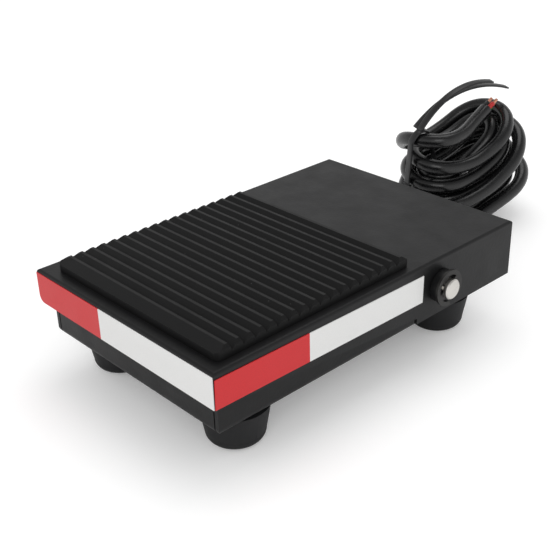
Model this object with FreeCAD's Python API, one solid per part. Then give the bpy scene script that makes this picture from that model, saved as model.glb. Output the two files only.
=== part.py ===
import FreeCAD, Part
import math
import os

Vector = FreeCAD.Vector
X_AXIS = Vector(1, 0, 0)
Y_AXIS = Vector(0, 1, 0)
Z_AXIS = Vector(0, 0, 1)

os.makedirs("parts", exist_ok=True)

# Driving sizes, in millimetres.
# X runs across the pedal, Y from the toe end (minus) to the cord end (plus), Z up.
# The origin is under the middle of the pedal, on the surface that it stands on.
tread_width = 70.0
tread_length = 107.4
tread_top = 29.7
sheet = 1.2
side_gap = 1.2
end_gap = 1.4
floor_bottom = 10.7
travel_degrees = 4.2
cord_diameter = 4.6

# Levels and planes worked out from the driving sizes.
half_width = tread_width / 2
under_tread = tread_top - sheet
floor_top = floor_bottom + sheet
base_half = half_width - sheet - side_gap
base_inner = base_half - sheet
base_front_back = sheet + end_gap
base_rear_setback = 5.8
base_rear_back = tread_length - base_rear_setback
cord_radius = cord_diameter / 2

# The hinge pin runs across the pedal, through both side flanges and both base walls.
pin_back = 76.4
pin_height = 21.8
pin_radius = 2.75
pin_half_length = 39.3
pin_running_gap = 0.05
pin_groove_radius = 2.0
clip_thickness = 0.7
clip_inner_x = 37.4
clip_radius = 5.0
clip_groove_slack = 0.05
clip_mouth_angle = -60
clip_lobe_angles = (30, 120, 210)
spacer_radius = 4.5
spacer_gap = 0.3

# The folded treadle cover.
cover_bend_outer = 0.8
cover_bend_inner = 0.3
front_flange_bottom = 20.4
rear_edge_bottom = 13.5
slant_end_back = 67.4
slant_end_bottom = 15.2
rear_flange_bottom = 22.6
left_corner_radius = 2.2
right_corner_radius = 0.8

# The folded base tray.
base_bend_outer = 2.0
base_bend_inner = 0.8
corner_seam = 0.4
front_wall_top = 21.9
side_wall_top = 27.3
rear_tab_top = 26.5
rear_tab_reach = 9.0

# The ribbed rubber pad.
pad_left = 30.2
pad_right = 32.3
pad_front_back = 3.5
pad_front_height = 2.1
pad_rear_back = 66.8
pad_base = 1.5
rib_crest = 3.2
rib_valley = 1.6
rib_count = 18
rib_pitch = 3.372
first_crest_back = 6.9
rib_valley_behind = 0.95
rib_nose = 0.4
pad_corner_radius = 1.5
pad_edge_slope = 0.8

# The two-tone strips on the front and on the right side flange.
strip_thickness = 0.2
strip_edge_margin = 0.15
strip_corner_margin = 0.1
front_strip_corner_radius = 2.0
side_strip_height = 7.6
side_strip_length = 69.2
side_strip_tilt = 1.0
front_strip_split_x = -7.4
side_strip_split_back = 28.5

# The four rubber feet with their screws and nuts.
foot_x = 23.2
foot_front_back = 15.1
foot_rear_setback = 10.9
foot_rear_back = base_rear_back - foot_rear_setback
foot_top_radius = 8.8
foot_bottom_radius = 7.5
foot_edge_radius = 2.8
foot_neck_radius = 6.0
foot_neck_height = 0.6
foot_recess_radius = 3.2
foot_recess_depth = 5.0
foot_screw_radius = 2.0
foot_screw_head_radius = 2.9
foot_screw_head_height = 1.6
foot_bore_gap = 0.1
foot_nut_flats = 7.0
foot_nut_height = 2.6

# The return spring between the tray and the cover.
spring_back = 33.0
spring_mean_radius = 4.0
spring_wire_radius = 0.5
spring_laps = 6
spring_seat_radius = 5.6
spring_seat_height = 1.0
spring_post_radius = 3.2
spring_post_height = 5.0
spring_cup_outer = 6.4
spring_cup_inner = 5.3
spring_cup_roof = 0.8
spring_cup_height = 2.6
spring_free_gap = 0.3

# The rubber stops that end the travel both ways.
down_stop_back = 13.0
down_stop_radius = 5.0
down_stop_top_radius = 4.0
down_stop_stem = 2.5
down_stop_bulb = 3.3
stop_clearance = 0.3
rest_stop_x = 18.0
rest_stop_setback = 5.6
rest_stop_back = base_rear_back - rest_stop_setback
rest_stop_radius = 3.5
rest_stop_stem = 1.6
rest_stop_bulb = 2.3

# The snap-action switch.
switch_x = 15.0
switch_front_back = 42.0
switch_length = 20.0
switch_width = 6.4
switch_bottom = 14.4
switch_height = 8.4
switch_screw_radius = 1.0
switch_screw_head_radius = 1.9
switch_screw_bottom_offset = 2.6
switch_screw_inset = 5.2
switch_nut_flats = 4.0
switch_nut_height = 1.6
bracket_sheet = 1.2
bracket_foot_width = 8.0
rivet_radius = 1.2
rivet_head_radius = 2.2
rivet_head_height = 0.8
lever_sheet = 0.4
lever_width = 4.4
lever_pivot_inset = 2.0
lever_pin_radius = 0.6
lever_tip_radius = 1.6
lever_tip_ahead = 2.2
lever_pivot_above = 1.0
plunger_inset = 8.0
plunger_radius = 1.1
plunger_gap = 0.06
plunger_free_gap = 0.3
lever_side_gap = 0.3
lever_pin_gap = 0.05
striker_height = 1.2
striker_gap = 0.3
terminal_thickness = 0.5
terminal_width = 2.6
terminal_reach = 7.0
terminal_drop = 1.1

# The cord entry, its clamp and the wires inside.
cord_exit_x = 0.0
cord_exit_height = 17.0
relief_reach = 16.0
relief_root_radius = 4.9
relief_tip_radius = 3.3
relief_flange_radius = 5.2
relief_flange_height = 1.6
relief_neck_radius = 3.6
relief_collar_radius = 4.2
relief_collar_height = 3.0
clamp_setback = 9.1
clamp_back = base_rear_back - clamp_setback
clamp_width = 7.0
clamp_strap = 1.0
clamp_foot_reach = 5.6
clamp_foot_beyond = 2.6
clamp_foot_thickness = 1.2
clamp_screw_radius = 1.25
clamp_screw_head_radius = 2.3
clamp_screw_head_height = 1.3
jacket_setback = 15.6
jacket_inner_back = base_rear_back - jacket_setback
wire_radius = 0.75
red_wire_turns = ((-0.95, 82.0, 17.5), (-1.4, 73.0, 15.6), (-1.8, 63.0, 13.9))
black_wire_turns = ((0.95, 82.0, 17.5), (1.6, 73.0, 15.6), (2.2, 65.0, 14.0))
green_wire_turns = ((0.0, 83.0, 15.9), (-3.6, 79.6, 14.9), (-7.2, 76.6, 13.5))
earth_ring_x = -8.0
earth_ring_back = 63.0
earth_barrel_start = 4.5
earth_barrel_length = 4.0

# The hank of spare cord that lies behind the pedal.
hank_x = -18.0
hank_back = 157.0
hank_half_length = 23.0
hank_half_width = 15.0
hank_pitch = 5.3
hank_laps = 7.5
hank_waist_step = 5.8
hank_near_step = 8.0
hank_far_step = 7.5
hank_tilt = -10.0
hank_rise = 20.0
hank_turn = -15.0
hank_floor_gap = 1.0
samples_per_lap = 72

# The short stretch from the pedal to the hank, and the free end above the hank.
lead_exit_run = 7.4
lead_arrival_run = 6.3
lead_sag = 1.7
lead_side_sag = 0.6
tail_first_run = 2.6
tail_turns = ((-13.2, -12.7, 20.0), (-7.7, -15.8, 27.7), (1.1, -14.4, 30.4), (7.3, -8.9, 29.8),
              (5.8, -0.8, 27.0), (3.1, 5.7, 26.6), (0.7, 12.4, 26.1))
core_radius = 0.8
core_offset = 1.1
core_length = 3.4
strand_radius = 0.45
strand_length = 2.4

# The flat tie round the hank's near folds, with its two free ends.
tie_width = 2.4
tie_thickness = 0.6
tie_gap = 0.4
tie_inner_shift = 1.1
tie_inner_laps = (5.75, 1.75)
tie_outer_laps = (0.75, 3.75, 4.75)
tail_crossings = ((-14.9, 29.5), (-13.7, 30.3))
tie_upper_reach = 30.3
tie_upper_rise = 1.5
tie_upper_bulge = 5.5
tie_lower_reach = 37.7
tie_lower_rise = -6.3
tie_lower_bulge = 6.5
tie_lower_shift = -2.0


def y_at(back):
    """The Y position of a place this far behind the toe edge; the front strip counts in the middle."""
    return back - (tread_length - strip_thickness) / 2


def back_of(y):
    """How far behind the toe edge a Y position is."""
    return y + (tread_length - strip_thickness) / 2


def block(x0, x1, y0, y1, z0, z1):
    """A box between six planes."""
    return Part.makeBox(x1 - x0, y1 - y0, z1 - z0, Vector(x0, y0, z0))


def cylinder(radius, length, base, axis=Z_AXIS):
    """A round bar from a base point along an axis."""
    return Part.makeCylinder(radius, length, base, axis)


def cone(radius_low, radius_high, length, base, axis=Z_AXIS):
    """A tapered round bar from a base point along an axis."""
    return Part.makeCone(radius_low, radius_high, length, base, axis)


def polygon_prism(points, along):
    """A closed outline of points, swept straight along a vector."""
    outline = Part.makePolygon(list(points) + [points[0]])
    return Part.Face(outline).extrude(along)


def hexagon_bar(flats, height, base, axis=Z_AXIS):
    """A six-sided bar, for nuts."""
    radius = flats / math.sqrt(3)
    across = X_AXIS if abs(axis.x) < 0.5 else Y_AXIS
    other = axis.cross(across)
    corners = []
    for step in range(6):
        angle = math.radians(60 * step)
        corners.append(base + across * (radius * math.cos(angle)) + other * (radius * math.sin(angle)))
    return polygon_prism(corners, axis * height)


def joined(solids):
    """One solid from several that touch or overlap."""
    whole = solids[0]
    for solid in solids[1:]:
        whole = whole.fuse(solid)
    return whole.removeSplitter()


def edges_where(shape, test):
    """The straight edges of a shape whose two ends pass a test."""
    found = []
    for edge in shape.Edges:
        ends = [vertex.Point for vertex in edge.Vertexes]
        if len(ends) == 2 and test(ends[0], ends[1]):
            found.append(edge)
    return found


def runs_along(first, second, axis):
    """Whether the line between two points runs along an axis."""
    span = second - first
    return abs(abs(span.dot(axis)) - span.Length) < 0.001


def mirrored_x(shape):
    """The same shape on the other side of the pedal."""
    return shape.mirror(Vector(0, 0, 0), X_AXIS)


def underside_when_pressed(back):
    """The height of the cover's underside at full travel."""
    angle = math.radians(travel_degrees)
    ahead = pin_back - back
    return pin_height + (under_tread - pin_height) * math.cos(angle) - ahead * math.sin(angle)


# Arcs and tubes for the cord, the wires and the spring.

def arc_through_corner(start, corner, end):
    """The arc that touches both sides of a corner at equal distances."""
    half_chord = (end - start).Length / 2
    weight = half_chord / (corner - start).Length
    middle = (start + end + corner * (2 * weight)) * (1 / (2 * (1 + weight)))
    return Part.Arc(start, middle, end).toShape()


def biarc(start, start_way, end, end_way):
    """Two tangent arcs from one point and direction to another."""
    span = end - start
    ways = start_way + end_way
    mixed = 2 * (1 - start_way.dot(end_way))
    along = span.dot(ways)
    if mixed < 1e-9:
        reach = span.dot(span) / (4 * span.dot(end_way))
    else:
        reach = (-along + math.sqrt(along * along + mixed * span.dot(span))) / mixed
    first_corner = start + start_way * reach
    second_corner = end - end_way * reach
    meeting = (first_corner + second_corner) * 0.5
    edges = []
    for near, corner, far in ((start, first_corner, meeting), (meeting, second_corner, end)):
        turn = (corner - near).cross(far - corner).Length
        if turn < 1e-6:
            edges.append(Part.LineSegment(near, far).toShape())
        else:
            edges.append(arc_through_corner(near, corner, far))
    return edges


def routed_edges(points, label):
    """Straight runs joined by tangent arcs, as large as the runs allow."""
    edges = []
    here = points[0]
    radii = []
    for before, corner, after in zip(points, points[1:], points[2:]):
        way_in = (corner - before).normalize()
        way_out = (after - corner).normalize()
        turn = way_in.getAngle(way_out)
        shorter = min((corner - before).Length, (after - corner).Length)
        cut = 0.45 * shorter
        radii.append(cut / math.tan(turn / 2))
        arc_start = corner - way_in * cut
        arc_end = corner + way_out * cut
        edges.append(Part.LineSegment(here, arc_start).toShape())
        edges.append(arc_through_corner(arc_start, corner, arc_end))
        here = arc_end
    edges.append(Part.LineSegment(here, points[-1]).toShape())
    print(label, "radii", [round(radius, 1) for radius in radii])
    return edges


def tube(edges, radius, label):
    """A round tube along joined edges, with its volume compared with section times length."""
    path = Part.Wire(edges)
    first = edges[0]
    start = first.valueAt(first.FirstParameter)
    way = first.tangentAt(first.FirstParameter)
    ring = Part.Wire([Part.Circle(start, way, radius).toShape()])
    solid = path.makePipeShell([ring], True, False)
    section_volume = math.pi * radius * radius * path.Length
    print(label, "length", round(path.Length, 1), "volume ratio", round(solid.Volume / section_volume, 4))
    return solid


def print_least_gap(points, skip, diameter, label):
    """Print how near a tube comes to itself, from points along its middle line."""
    least = None
    for index, point in enumerate(points):
        for other in points[index + skip:]:
            apart = (other - point).Length
            if least is None or apart < least:
                least = apart
    print(label, "least gap to itself", round(least - diameter, 2))


# The cover that the foot presses.

def side_edge_cutter():
    """What is taken off under the side flanges: a slanted front stretch, then a straight one."""
    front = y_at(0) - 1
    step = y_at(slant_end_back)
    rear = y_at(tread_length) + 1
    slope = (front_flange_bottom - slant_end_bottom) / slant_end_back
    low = -1.0
    outline = [
        Vector(-half_width - 1, front, low),
        Vector(-half_width - 1, front, front_flange_bottom + slope),
        Vector(-half_width - 1, step, slant_end_bottom),
        Vector(-half_width - 1, step, rear_edge_bottom),
        Vector(-half_width - 1, rear, rear_edge_bottom),
        Vector(-half_width - 1, rear, low),
    ]
    return polygon_prism(outline, Vector(tread_width + 2, 0, 0))


def flange_corner_cutter(side, radius):
    """The rounding at a lower corner of the front flange."""
    edge_x = side * half_width
    square = block(min(edge_x, edge_x - side * radius), max(edge_x, edge_x - side * radius),
                   y_at(0) - 1, y_at(0) + cover_bend_outer,
                   front_flange_bottom - 1, front_flange_bottom + radius)
    centre = Vector(edge_x - side * radius, y_at(0) - 2, front_flange_bottom + radius)
    return square.cut(cylinder(radius, cover_bend_outer + 4, centre, Y_AXIS))


def pin_hole(radius):
    """A bore through both sides of the pedal on the hinge axis."""
    return cylinder(radius, 2 * pin_half_length, Vector(-pin_half_length, y_at(pin_back), pin_height), X_AXIS)


def treadle_cover():
    """The folded sheet cover with its four flanges."""
    front = y_at(0)
    rear = y_at(tread_length)
    outer = block(-half_width, half_width, front, rear, 0, tread_top)
    outer = outer.makeFillet(cover_bend_outer, edges_where(
        outer, lambda a, b: a.z > tread_top - 0.01 and b.z > tread_top - 0.01))
    inner = block(-half_width + sheet, half_width - sheet, front + sheet, rear - sheet, -1, under_tread)
    rounded = edges_where(inner, lambda a, b: (a.z > under_tread - 0.01 and b.z > under_tread - 0.01)
                          or runs_along(a, b, Z_AXIS))
    inner = inner.makeFillet(cover_bend_inner, rounded)
    cover = outer.cut(inner).cut(side_edge_cutter())
    ends = block(-half_width + cover_bend_outer, half_width - cover_bend_outer, front - 1, rear + 1, 0, front_flange_bottom)
    cover = cover.cut(ends)
    rear_notch = block(-half_width + cover_bend_outer, half_width - cover_bend_outer,
                       rear - sheet - 1, rear + 1, 0, rear_flange_bottom)
    cover = cover.cut(rear_notch)
    cover = cover.cut(flange_corner_cutter(-1, left_corner_radius))
    cover = cover.cut(flange_corner_cutter(1, right_corner_radius))
    return cover.cut(pin_hole(pin_radius + pin_running_gap)).removeSplitter()


def tread_pad():
    """The ribbed rubber pad: saw-toothed ribs across the pedal on a thin base."""
    base = tread_top + pad_base
    crest = tread_top + rib_crest
    valley = tread_top + rib_valley
    outline = [
        Vector(0, y_at(pad_front_back), tread_top),
        Vector(0, y_at(pad_front_back), tread_top + pad_front_height),
    ]
    for rib in range(rib_count):
        middle = y_at(first_crest_back + rib * rib_pitch)
        outline.append(Vector(0, middle - rib_nose, crest))
        outline.append(Vector(0, middle + rib_nose, crest))
        if rib < rib_count - 1:
            outline.append(Vector(0, middle + rib_valley_behind, valley))
    outline.append(Vector(0, y_at(pad_rear_back) - rib_nose, base + rib_nose))
    outline.append(Vector(0, y_at(pad_rear_back), base))
    outline.append(Vector(0, y_at(pad_rear_back), tread_top))
    ribs = polygon_prism([point - X_AXIS * pad_left for point in outline], X_AXIS * (pad_left + pad_right))
    plan = block(-pad_left, pad_right, y_at(pad_front_back), y_at(pad_rear_back), tread_top, crest)
    plan = plan.makeFillet(pad_corner_radius, edges_where(plan, lambda a, b: runs_along(a, b, Z_AXIS)))
    pad = ribs.common(plan)
    for side, reach in ((-1, pad_left), (1, pad_right)):
        wedge = [
            Vector(side * (reach + 0.01), y_at(0), crest - pad_edge_slope),
            Vector(side * (reach + 0.01), y_at(0), crest + 0.5),
            Vector(side * (reach - pad_edge_slope - 0.5), y_at(0), crest + 0.5),
        ]
        pad = pad.cut(polygon_prism(wedge, Vector(0, tread_length, 0)))
    return pad


def front_strip():
    """The thin adhesive strip that fills the flat of the front flange."""
    half = half_width - strip_corner_margin
    bottom = front_flange_bottom + strip_edge_margin
    strip = block(-half, half, y_at(0) - strip_thickness, y_at(0), bottom, tread_top - cover_bend_outer)
    lower_left = edges_where(strip, lambda a, b: runs_along(a, b, Y_AXIS) and a.z < bottom + 0.01 and a.x < 0)
    return strip.makeFillet(front_strip_corner_radius, lower_left)


def front_strip_half(side):
    """The red left part or the white right part of the front strip."""
    far = side * tread_width
    keep = block(min(front_strip_split_x, far), max(front_strip_split_x, far), y_at(-1), y_at(1), 0, tread_top)
    return front_strip().common(keep)


def side_strip():
    """The thin adhesive strip on the right side flange, laid a little aslant."""
    front = y_at(strip_corner_margin)
    bottom = front_flange_bottom + strip_edge_margin
    strip = block(half_width, half_width + strip_thickness, front, y_at(side_strip_length),
                  bottom, bottom + side_strip_height)
    strip.rotate(Vector(half_width, front, bottom), X_AXIS, -side_strip_tilt)
    return strip


def side_strip_half(side):
    """The red front part or the white rear part of the side strip."""
    split = y_at(side_strip_split_back)
    far = y_at(side_strip_split_back) + side * tread_length
    keep = block(half_width - 1, half_width + 1, min(split, far), max(split, far), 0, tread_top)
    return side_strip().common(keep)


def striker_front_back():
    """How far behind the toe edge the lever's tip lies."""
    return switch_front_back - lever_tip_ahead


def striker_plate():
    """The small wear plate under the cover that pushes the switch lever down."""
    middle = y_at(striker_front_back())
    plate = block(switch_x - 4, switch_x + 4, middle - 4.5, middle + 4.5, under_tread - striker_height, under_tread)
    lower = edges_where(plate, lambda a, b: runs_along(a, b, X_AXIS) and a.z < under_tread - 0.5 * striker_height)
    return plate.makeFillet(0.6, lower)


def spring_cup():
    """The cup under the cover that holds the top of the return spring."""
    centre = Vector(0, y_at(spring_back), under_tread - spring_cup_height)
    cup = cylinder(spring_cup_outer, spring_cup_height, centre)
    return cup.cut(cylinder(spring_cup_inner, spring_cup_height - spring_cup_roof, centre))


# The tray that stands on the feet.

def side_walls_and_floor():
    """The tray's floor with its two side walls, open at both ends."""
    front = y_at(base_front_back)
    rear = y_at(base_rear_back)
    outer = block(-base_half, base_half, front, rear, floor_bottom, side_wall_top)
    outer = outer.makeFillet(base_bend_outer, edges_where(
        outer, lambda a, b: runs_along(a, b, Y_AXIS) and a.z < floor_bottom + 0.01))
    inner = block(-base_inner, base_inner, front - 1, rear + 1, floor_top, side_wall_top + 1)
    inner = inner.makeFillet(base_bend_inner, edges_where(
        inner, lambda a, b: runs_along(a, b, Y_AXIS) and a.z < floor_top + 0.01))
    ends = block(-base_half - 1, base_half + 1, front, rear, floor_bottom, side_wall_top + 1)
    ends = ends.makeFillet(base_bend_outer, edges_where(
        ends, lambda a, b: runs_along(a, b, X_AXIS) and a.z < floor_bottom + 0.01))
    channel = outer.cut(inner).common(ends)
    slope_start = front_wall_top
    slope = math.tan(math.radians(travel_degrees))
    level_y = front + (side_wall_top - slope_start) / slope
    above = [
        Vector(-base_half - 1, front - 1, slope_start - slope),
        Vector(-base_half - 1, level_y, side_wall_top),
        Vector(-base_half - 1, level_y, side_wall_top + 1),
        Vector(-base_half - 1, front - 1, side_wall_top + 1),
    ]
    return channel.cut(polygon_prism(above, Vector(2 * base_half + 2, 0, 0)))


def end_wall(outside, inside, top):
    """A folded end wall that stands between the side walls, with its bend."""
    low = min(outside, inside)
    high = max(outside, inside)
    half = base_inner - corner_seam
    fold = block(-half, half, low, high, floor_bottom, top)
    fold = fold.makeFillet(base_bend_outer, edges_where(
        fold, lambda a, b: runs_along(a, b, X_AXIS) and a.z < floor_bottom + 0.01 and abs(a.y - outside) < 0.01))
    way = 1 if inside > outside else -1
    hollow = block(-half - 1, half + 1, min(outside + way * sheet, inside + way), max(outside + way * sheet, inside + way),
                   floor_top, top + 1)
    hollow = hollow.makeFillet(base_bend_inner, edges_where(
        hollow, lambda a, b: runs_along(a, b, X_AXIS) and a.z < floor_top + 0.01
        and abs(a.y - outside - way * sheet) < 0.01))
    return fold.cut(hollow)


def foot_places():
    """The four foot centres: front left, front right, rear left, rear right."""
    places = []
    for name, back in (("front", foot_front_back), ("rear", foot_rear_back)):
        for side_name, side in (("left", -1), ("right", 1)):
            places.append((name + "_" + side_name, Vector(side * foot_x, y_at(back), 0)))
    return places


def rest_stop_places():
    """The two rubber rest stops on the rear tab."""
    return [Vector(side * rest_stop_x, y_at(rest_stop_back), 0) for side in (-1, 1)]


def clamp_screw_places():
    """The two screws of the cord clamp."""
    return [Vector(cord_exit_x + side * clamp_foot_reach, y_at(clamp_back), 0) for side in (-1, 1)]


def bracket_rivet_places():
    """The two rivets that hold the switch bracket on the floor."""
    x = switch_x + switch_width / 2 + bracket_sheet + bracket_foot_width / 2
    middle = switch_front_back + switch_length / 2
    return [Vector(x, y_at(middle + shift), 0) for shift in (-6.0, 6.0)]


def earth_place():
    """Where the earth wire's ring is screwed to the floor."""
    return Vector(earth_ring_x, y_at(earth_ring_back), 0)


def base_tray():
    """The folded sheet tray with all its holes."""
    front = y_at(base_front_back)
    rear = y_at(base_rear_back)
    bend_depth = base_bend_outer + 1.0
    tray = side_walls_and_floor()
    half = base_inner - corner_seam
    tray = tray.cut(block(-base_inner, base_inner, front - 1, front + bend_depth, floor_bottom - 1, floor_top + 0.9))
    tray = tray.cut(block(-base_inner, base_inner, rear - bend_depth, rear + 1, floor_bottom - 1, floor_top + 0.9))
    tray = joined([tray, end_wall(front, front + bend_depth, front_wall_top),
                   end_wall(rear, rear - bend_depth, rear_tab_top)])
    tab = block(-half, half, rear - rear_tab_reach, rear - sheet, rear_tab_top - sheet, rear_tab_top)
    tray = joined([tray, tab])
    tray = tray.cut(pin_hole(pin_radius))
    for _, place in foot_places():
        tray = tray.cut(cylinder(foot_screw_radius, sheet + 2, place + Vector(0, 0, floor_bottom - 1)))
    for place in rest_stop_places():
        tray = tray.cut(cylinder(rest_stop_stem, sheet + 1, place + Vector(0, 0, rear_tab_top - sheet - 0.5)))
    for place in clamp_screw_places() + [earth_place()]:
        tray = tray.cut(cylinder(clamp_screw_radius, sheet + 2, place + Vector(0, 0, floor_bottom - 1)))
    for place in bracket_rivet_places():
        tray = tray.cut(cylinder(rivet_radius, sheet + 2, place + Vector(0, 0, floor_bottom - 1)))
    stop = Vector(0, y_at(down_stop_back), floor_bottom - 1)
    tray = tray.cut(cylinder(down_stop_stem, sheet + 2, stop))
    post = Vector(0, y_at(spring_back), floor_bottom - 1)
    tray = tray.cut(cylinder(rivet_radius, sheet + 2, post))
    entry = Vector(cord_exit_x, rear + 1, cord_exit_height)
    tray = tray.cut(cylinder(relief_neck_radius, sheet + 2, entry, Y_AXIS * -1))
    return tray.removeSplitter()


def hinge_pin():
    """The pin with a groove for a clip near each end."""
    pin = pin_hole(pin_radius)
    ends = [edge for edge in pin.Edges if abs(abs(edge.CenterOfMass.x) - pin_half_length) < 0.01]
    pin = pin.makeChamfer(0.3, ends)
    for side in (-1, 1):
        start = Vector(side * (clip_inner_x - clip_groove_slack), y_at(pin_back), pin_height)
        width = clip_thickness + 2 * clip_groove_slack
        groove = cylinder(pin_radius + 1, width, start, X_AXIS * side)
        groove = groove.cut(cylinder(pin_groove_radius, width, start, X_AXIS * side))
        pin = pin.cut(groove)
    return pin


def pin_spacers():
    """The dark washers between the cover's flanges and the clips."""
    start = Vector(half_width + spacer_gap, y_at(pin_back), pin_height)
    width = clip_inner_x - half_width - spacer_gap
    ring = cylinder(spacer_radius, width, start, X_AXIS)
    ring = ring.cut(cylinder(pin_radius, width, start, X_AXIS))
    return Part.makeCompound([ring, mirrored_x(ring)])


def retaining_clip():
    """One open spring clip with three inner lobes, in the pin's groove."""
    start = Vector(clip_inner_x, y_at(pin_back), pin_height)
    rim = cylinder(clip_radius, clip_thickness, start, X_AXIS)
    rim = rim.cut(cylinder(clip_radius - 1.25, clip_thickness, start, X_AXIS))
    lobe_out = clip_radius - 0.6
    clip = rim
    for angle in clip_lobe_angles:
        lobe = block(clip_inner_x, clip_inner_x + clip_thickness, start.y, start.y + lobe_out,
                     pin_height - 1.1, pin_height + 1.1)
        lobe.rotate(start, X_AXIS, angle)
        clip = clip.fuse(lobe)
    clip = clip.cut(cylinder(pin_groove_radius, clip_thickness, start, X_AXIS))
    mouth = block(clip_inner_x, clip_inner_x + clip_thickness, start.y, start.y + clip_radius + 1,
                  pin_height - 1.9, pin_height + 1.9)
    mouth.rotate(start, X_AXIS, clip_mouth_angle)
    return clip.cut(mouth).removeSplitter()


def retaining_clips():
    """Both spring clips."""
    clip = retaining_clip()
    return Part.makeCompound([clip, mirrored_x(clip)])


# Feet and what holds them.

def foot(place):
    """A tapered rubber foot with a rounded lower edge and a screw recess."""
    top = floor_bottom - foot_neck_height
    edge = foot_edge_radius
    middle_angle = math.radians(45)
    corner = Vector(foot_bottom_radius - edge * (1 - math.sin(middle_angle)), 0, edge * (1 - math.cos(middle_angle)))
    lines = [
        Part.LineSegment(Vector(0, 0, 0), Vector(foot_bottom_radius - edge, 0, 0)).toShape(),
        Part.Arc(Vector(foot_bottom_radius - edge, 0, 0), corner, Vector(foot_bottom_radius, 0, edge)).toShape(),
        Part.LineSegment(Vector(foot_bottom_radius, 0, edge), Vector(foot_top_radius, 0, top)).toShape(),
        Part.LineSegment(Vector(foot_top_radius, 0, top), Vector(foot_neck_radius, 0, top)).toShape(),
        Part.LineSegment(Vector(foot_neck_radius, 0, top), Vector(foot_neck_radius, 0, floor_bottom)).toShape(),
        Part.LineSegment(Vector(foot_neck_radius, 0, floor_bottom), Vector(0, 0, floor_bottom)).toShape(),
        Part.LineSegment(Vector(0, 0, floor_bottom), Vector(0, 0, 0)).toShape(),
    ]
    body = Part.Face(Part.Wire(lines)).revolve(Vector(0, 0, 0), Z_AXIS, 360)
    body = body.cut(cylinder(foot_recess_radius, foot_recess_depth, Vector(0, 0, 0)))
    body = body.cut(cylinder(foot_screw_radius + foot_bore_gap, floor_bottom, Vector(0, 0, 0)))
    body.translate(place)
    return body


def foot_screws():
    """The pan-headed screws up through the feet and the floor."""
    screws = []
    top = floor_top + foot_nut_height + 0.6
    for _, place in foot_places():
        head_base = place + Vector(0, 0, foot_recess_depth - foot_screw_head_height)
        head = cylinder(foot_screw_head_radius, foot_screw_head_height, head_base)
        slot = block(place.x - 3.5, place.x + 3.5, place.y - 0.4, place.y + 0.4, head_base.z, head_base.z + 0.7)
        shank = cylinder(foot_screw_radius, top - foot_recess_depth, place + Vector(0, 0, foot_recess_depth))
        screws.append(joined([head.cut(slot), shank]))
    return Part.makeCompound(screws)


def foot_nuts():
    """The nuts on the floor that hold the feet."""
    nuts = []
    for _, place in foot_places():
        base = place + Vector(0, 0, floor_top)
        nut = hexagon_bar(foot_nut_flats, foot_nut_height, base)
        nuts.append(nut.cut(cylinder(foot_screw_radius, foot_nut_height, base)))
    return Part.makeCompound(nuts)


# The spring, its seat and the stops.

def spring_seat():
    """The riveted seat and post under the return spring."""
    base = Vector(0, y_at(spring_back), 0)
    disc = cylinder(spring_seat_radius, spring_seat_height, base + Vector(0, 0, floor_top))
    post = cylinder(spring_post_radius, spring_post_height, base + Vector(0, 0, floor_top + spring_seat_height))
    post = post.makeChamfer(0.6, [edge for edge in post.Edges if edge.CenterOfMass.z > floor_top + spring_post_height])
    shank = cylinder(rivet_radius, sheet, base + Vector(0, 0, floor_bottom))
    head = cylinder(rivet_head_radius, rivet_head_height, base + Vector(0, 0, floor_bottom - rivet_head_height))
    return joined([disc, post, shank, head])


def spring_point(lap):
    """A place on the spring's middle line after this many laps, with nearly closed end laps."""
    low = floor_top + spring_seat_height + spring_wire_radius
    high = under_tread - spring_cup_roof - spring_free_gap - spring_wire_radius
    closed = 2.8 * spring_wire_radius
    open_laps = spring_laps - 2
    climb = (high - low - 2 * closed) / open_laps
    if lap < 1:
        height = low + closed * lap
    elif lap > spring_laps - 1:
        height = high - closed * (spring_laps - lap)
    else:
        height = low + closed + climb * (lap - 1)
    angle = 2 * math.pi * lap
    return Vector(spring_mean_radius * math.cos(angle), y_at(spring_back) + spring_mean_radius * math.sin(angle), height)


def way_at(place, lap, lowest, highest):
    """The direction of a formula's curve, from two places close together."""
    small = 0.001
    before = place(max(lowest, lap - small))
    after = place(min(highest, lap + small))
    return (after - before).normalize()


def turned_edges(place, laps, pieces):
    """Biarcs along a formula's curve, a few to each lap."""
    edges = []
    for step in range(int(laps * pieces)):
        low = step / pieces
        high = (step + 1) / pieces
        edges += biarc(place(low), way_at(place, low, 0, laps), place(high), way_at(place, high, 0, laps))
    return edges


def return_spring():
    """The helical return spring."""
    points = [spring_point(step / 24) for step in range(spring_laps * 24 + 1)]
    print_least_gap(points, 12, 2 * spring_wire_radius, "return_spring")
    return tube(turned_edges(spring_point, spring_laps, 4), spring_wire_radius, "return_spring")


def down_stop():
    """The rubber buffer that ends the downward travel, pushed into the floor."""
    base = Vector(0, y_at(down_stop_back), 0)
    top = underside_when_pressed(down_stop_back - down_stop_radius) - stop_clearance
    body = cone(down_stop_radius, down_stop_top_radius, top - floor_top, base + Vector(0, 0, floor_top))
    stem = cylinder(down_stop_stem, sheet, base + Vector(0, 0, floor_bottom))
    bulb = cone(1.6, down_stop_bulb, 2.2, base + Vector(0, 0, floor_bottom - 2.2))
    return joined([body, stem, bulb])


def rest_stops():
    """The two rubber stops on the rear tab that hold the cover at rest."""
    stops = []
    for place in rest_stop_places():
        height = under_tread - stop_clearance - rear_tab_top
        body = cylinder(rest_stop_radius, height, place + Vector(0, 0, rear_tab_top))
        stem = cylinder(rest_stop_stem, sheet, place + Vector(0, 0, rear_tab_top - sheet))
        bulb = cone(1.2, rest_stop_bulb, 1.2, place + Vector(0, 0, rear_tab_top - sheet - 1.2))
        stops.append(joined([body, stem, bulb]))
    return Part.makeCompound(stops)


# The switch and what carries it.

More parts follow.
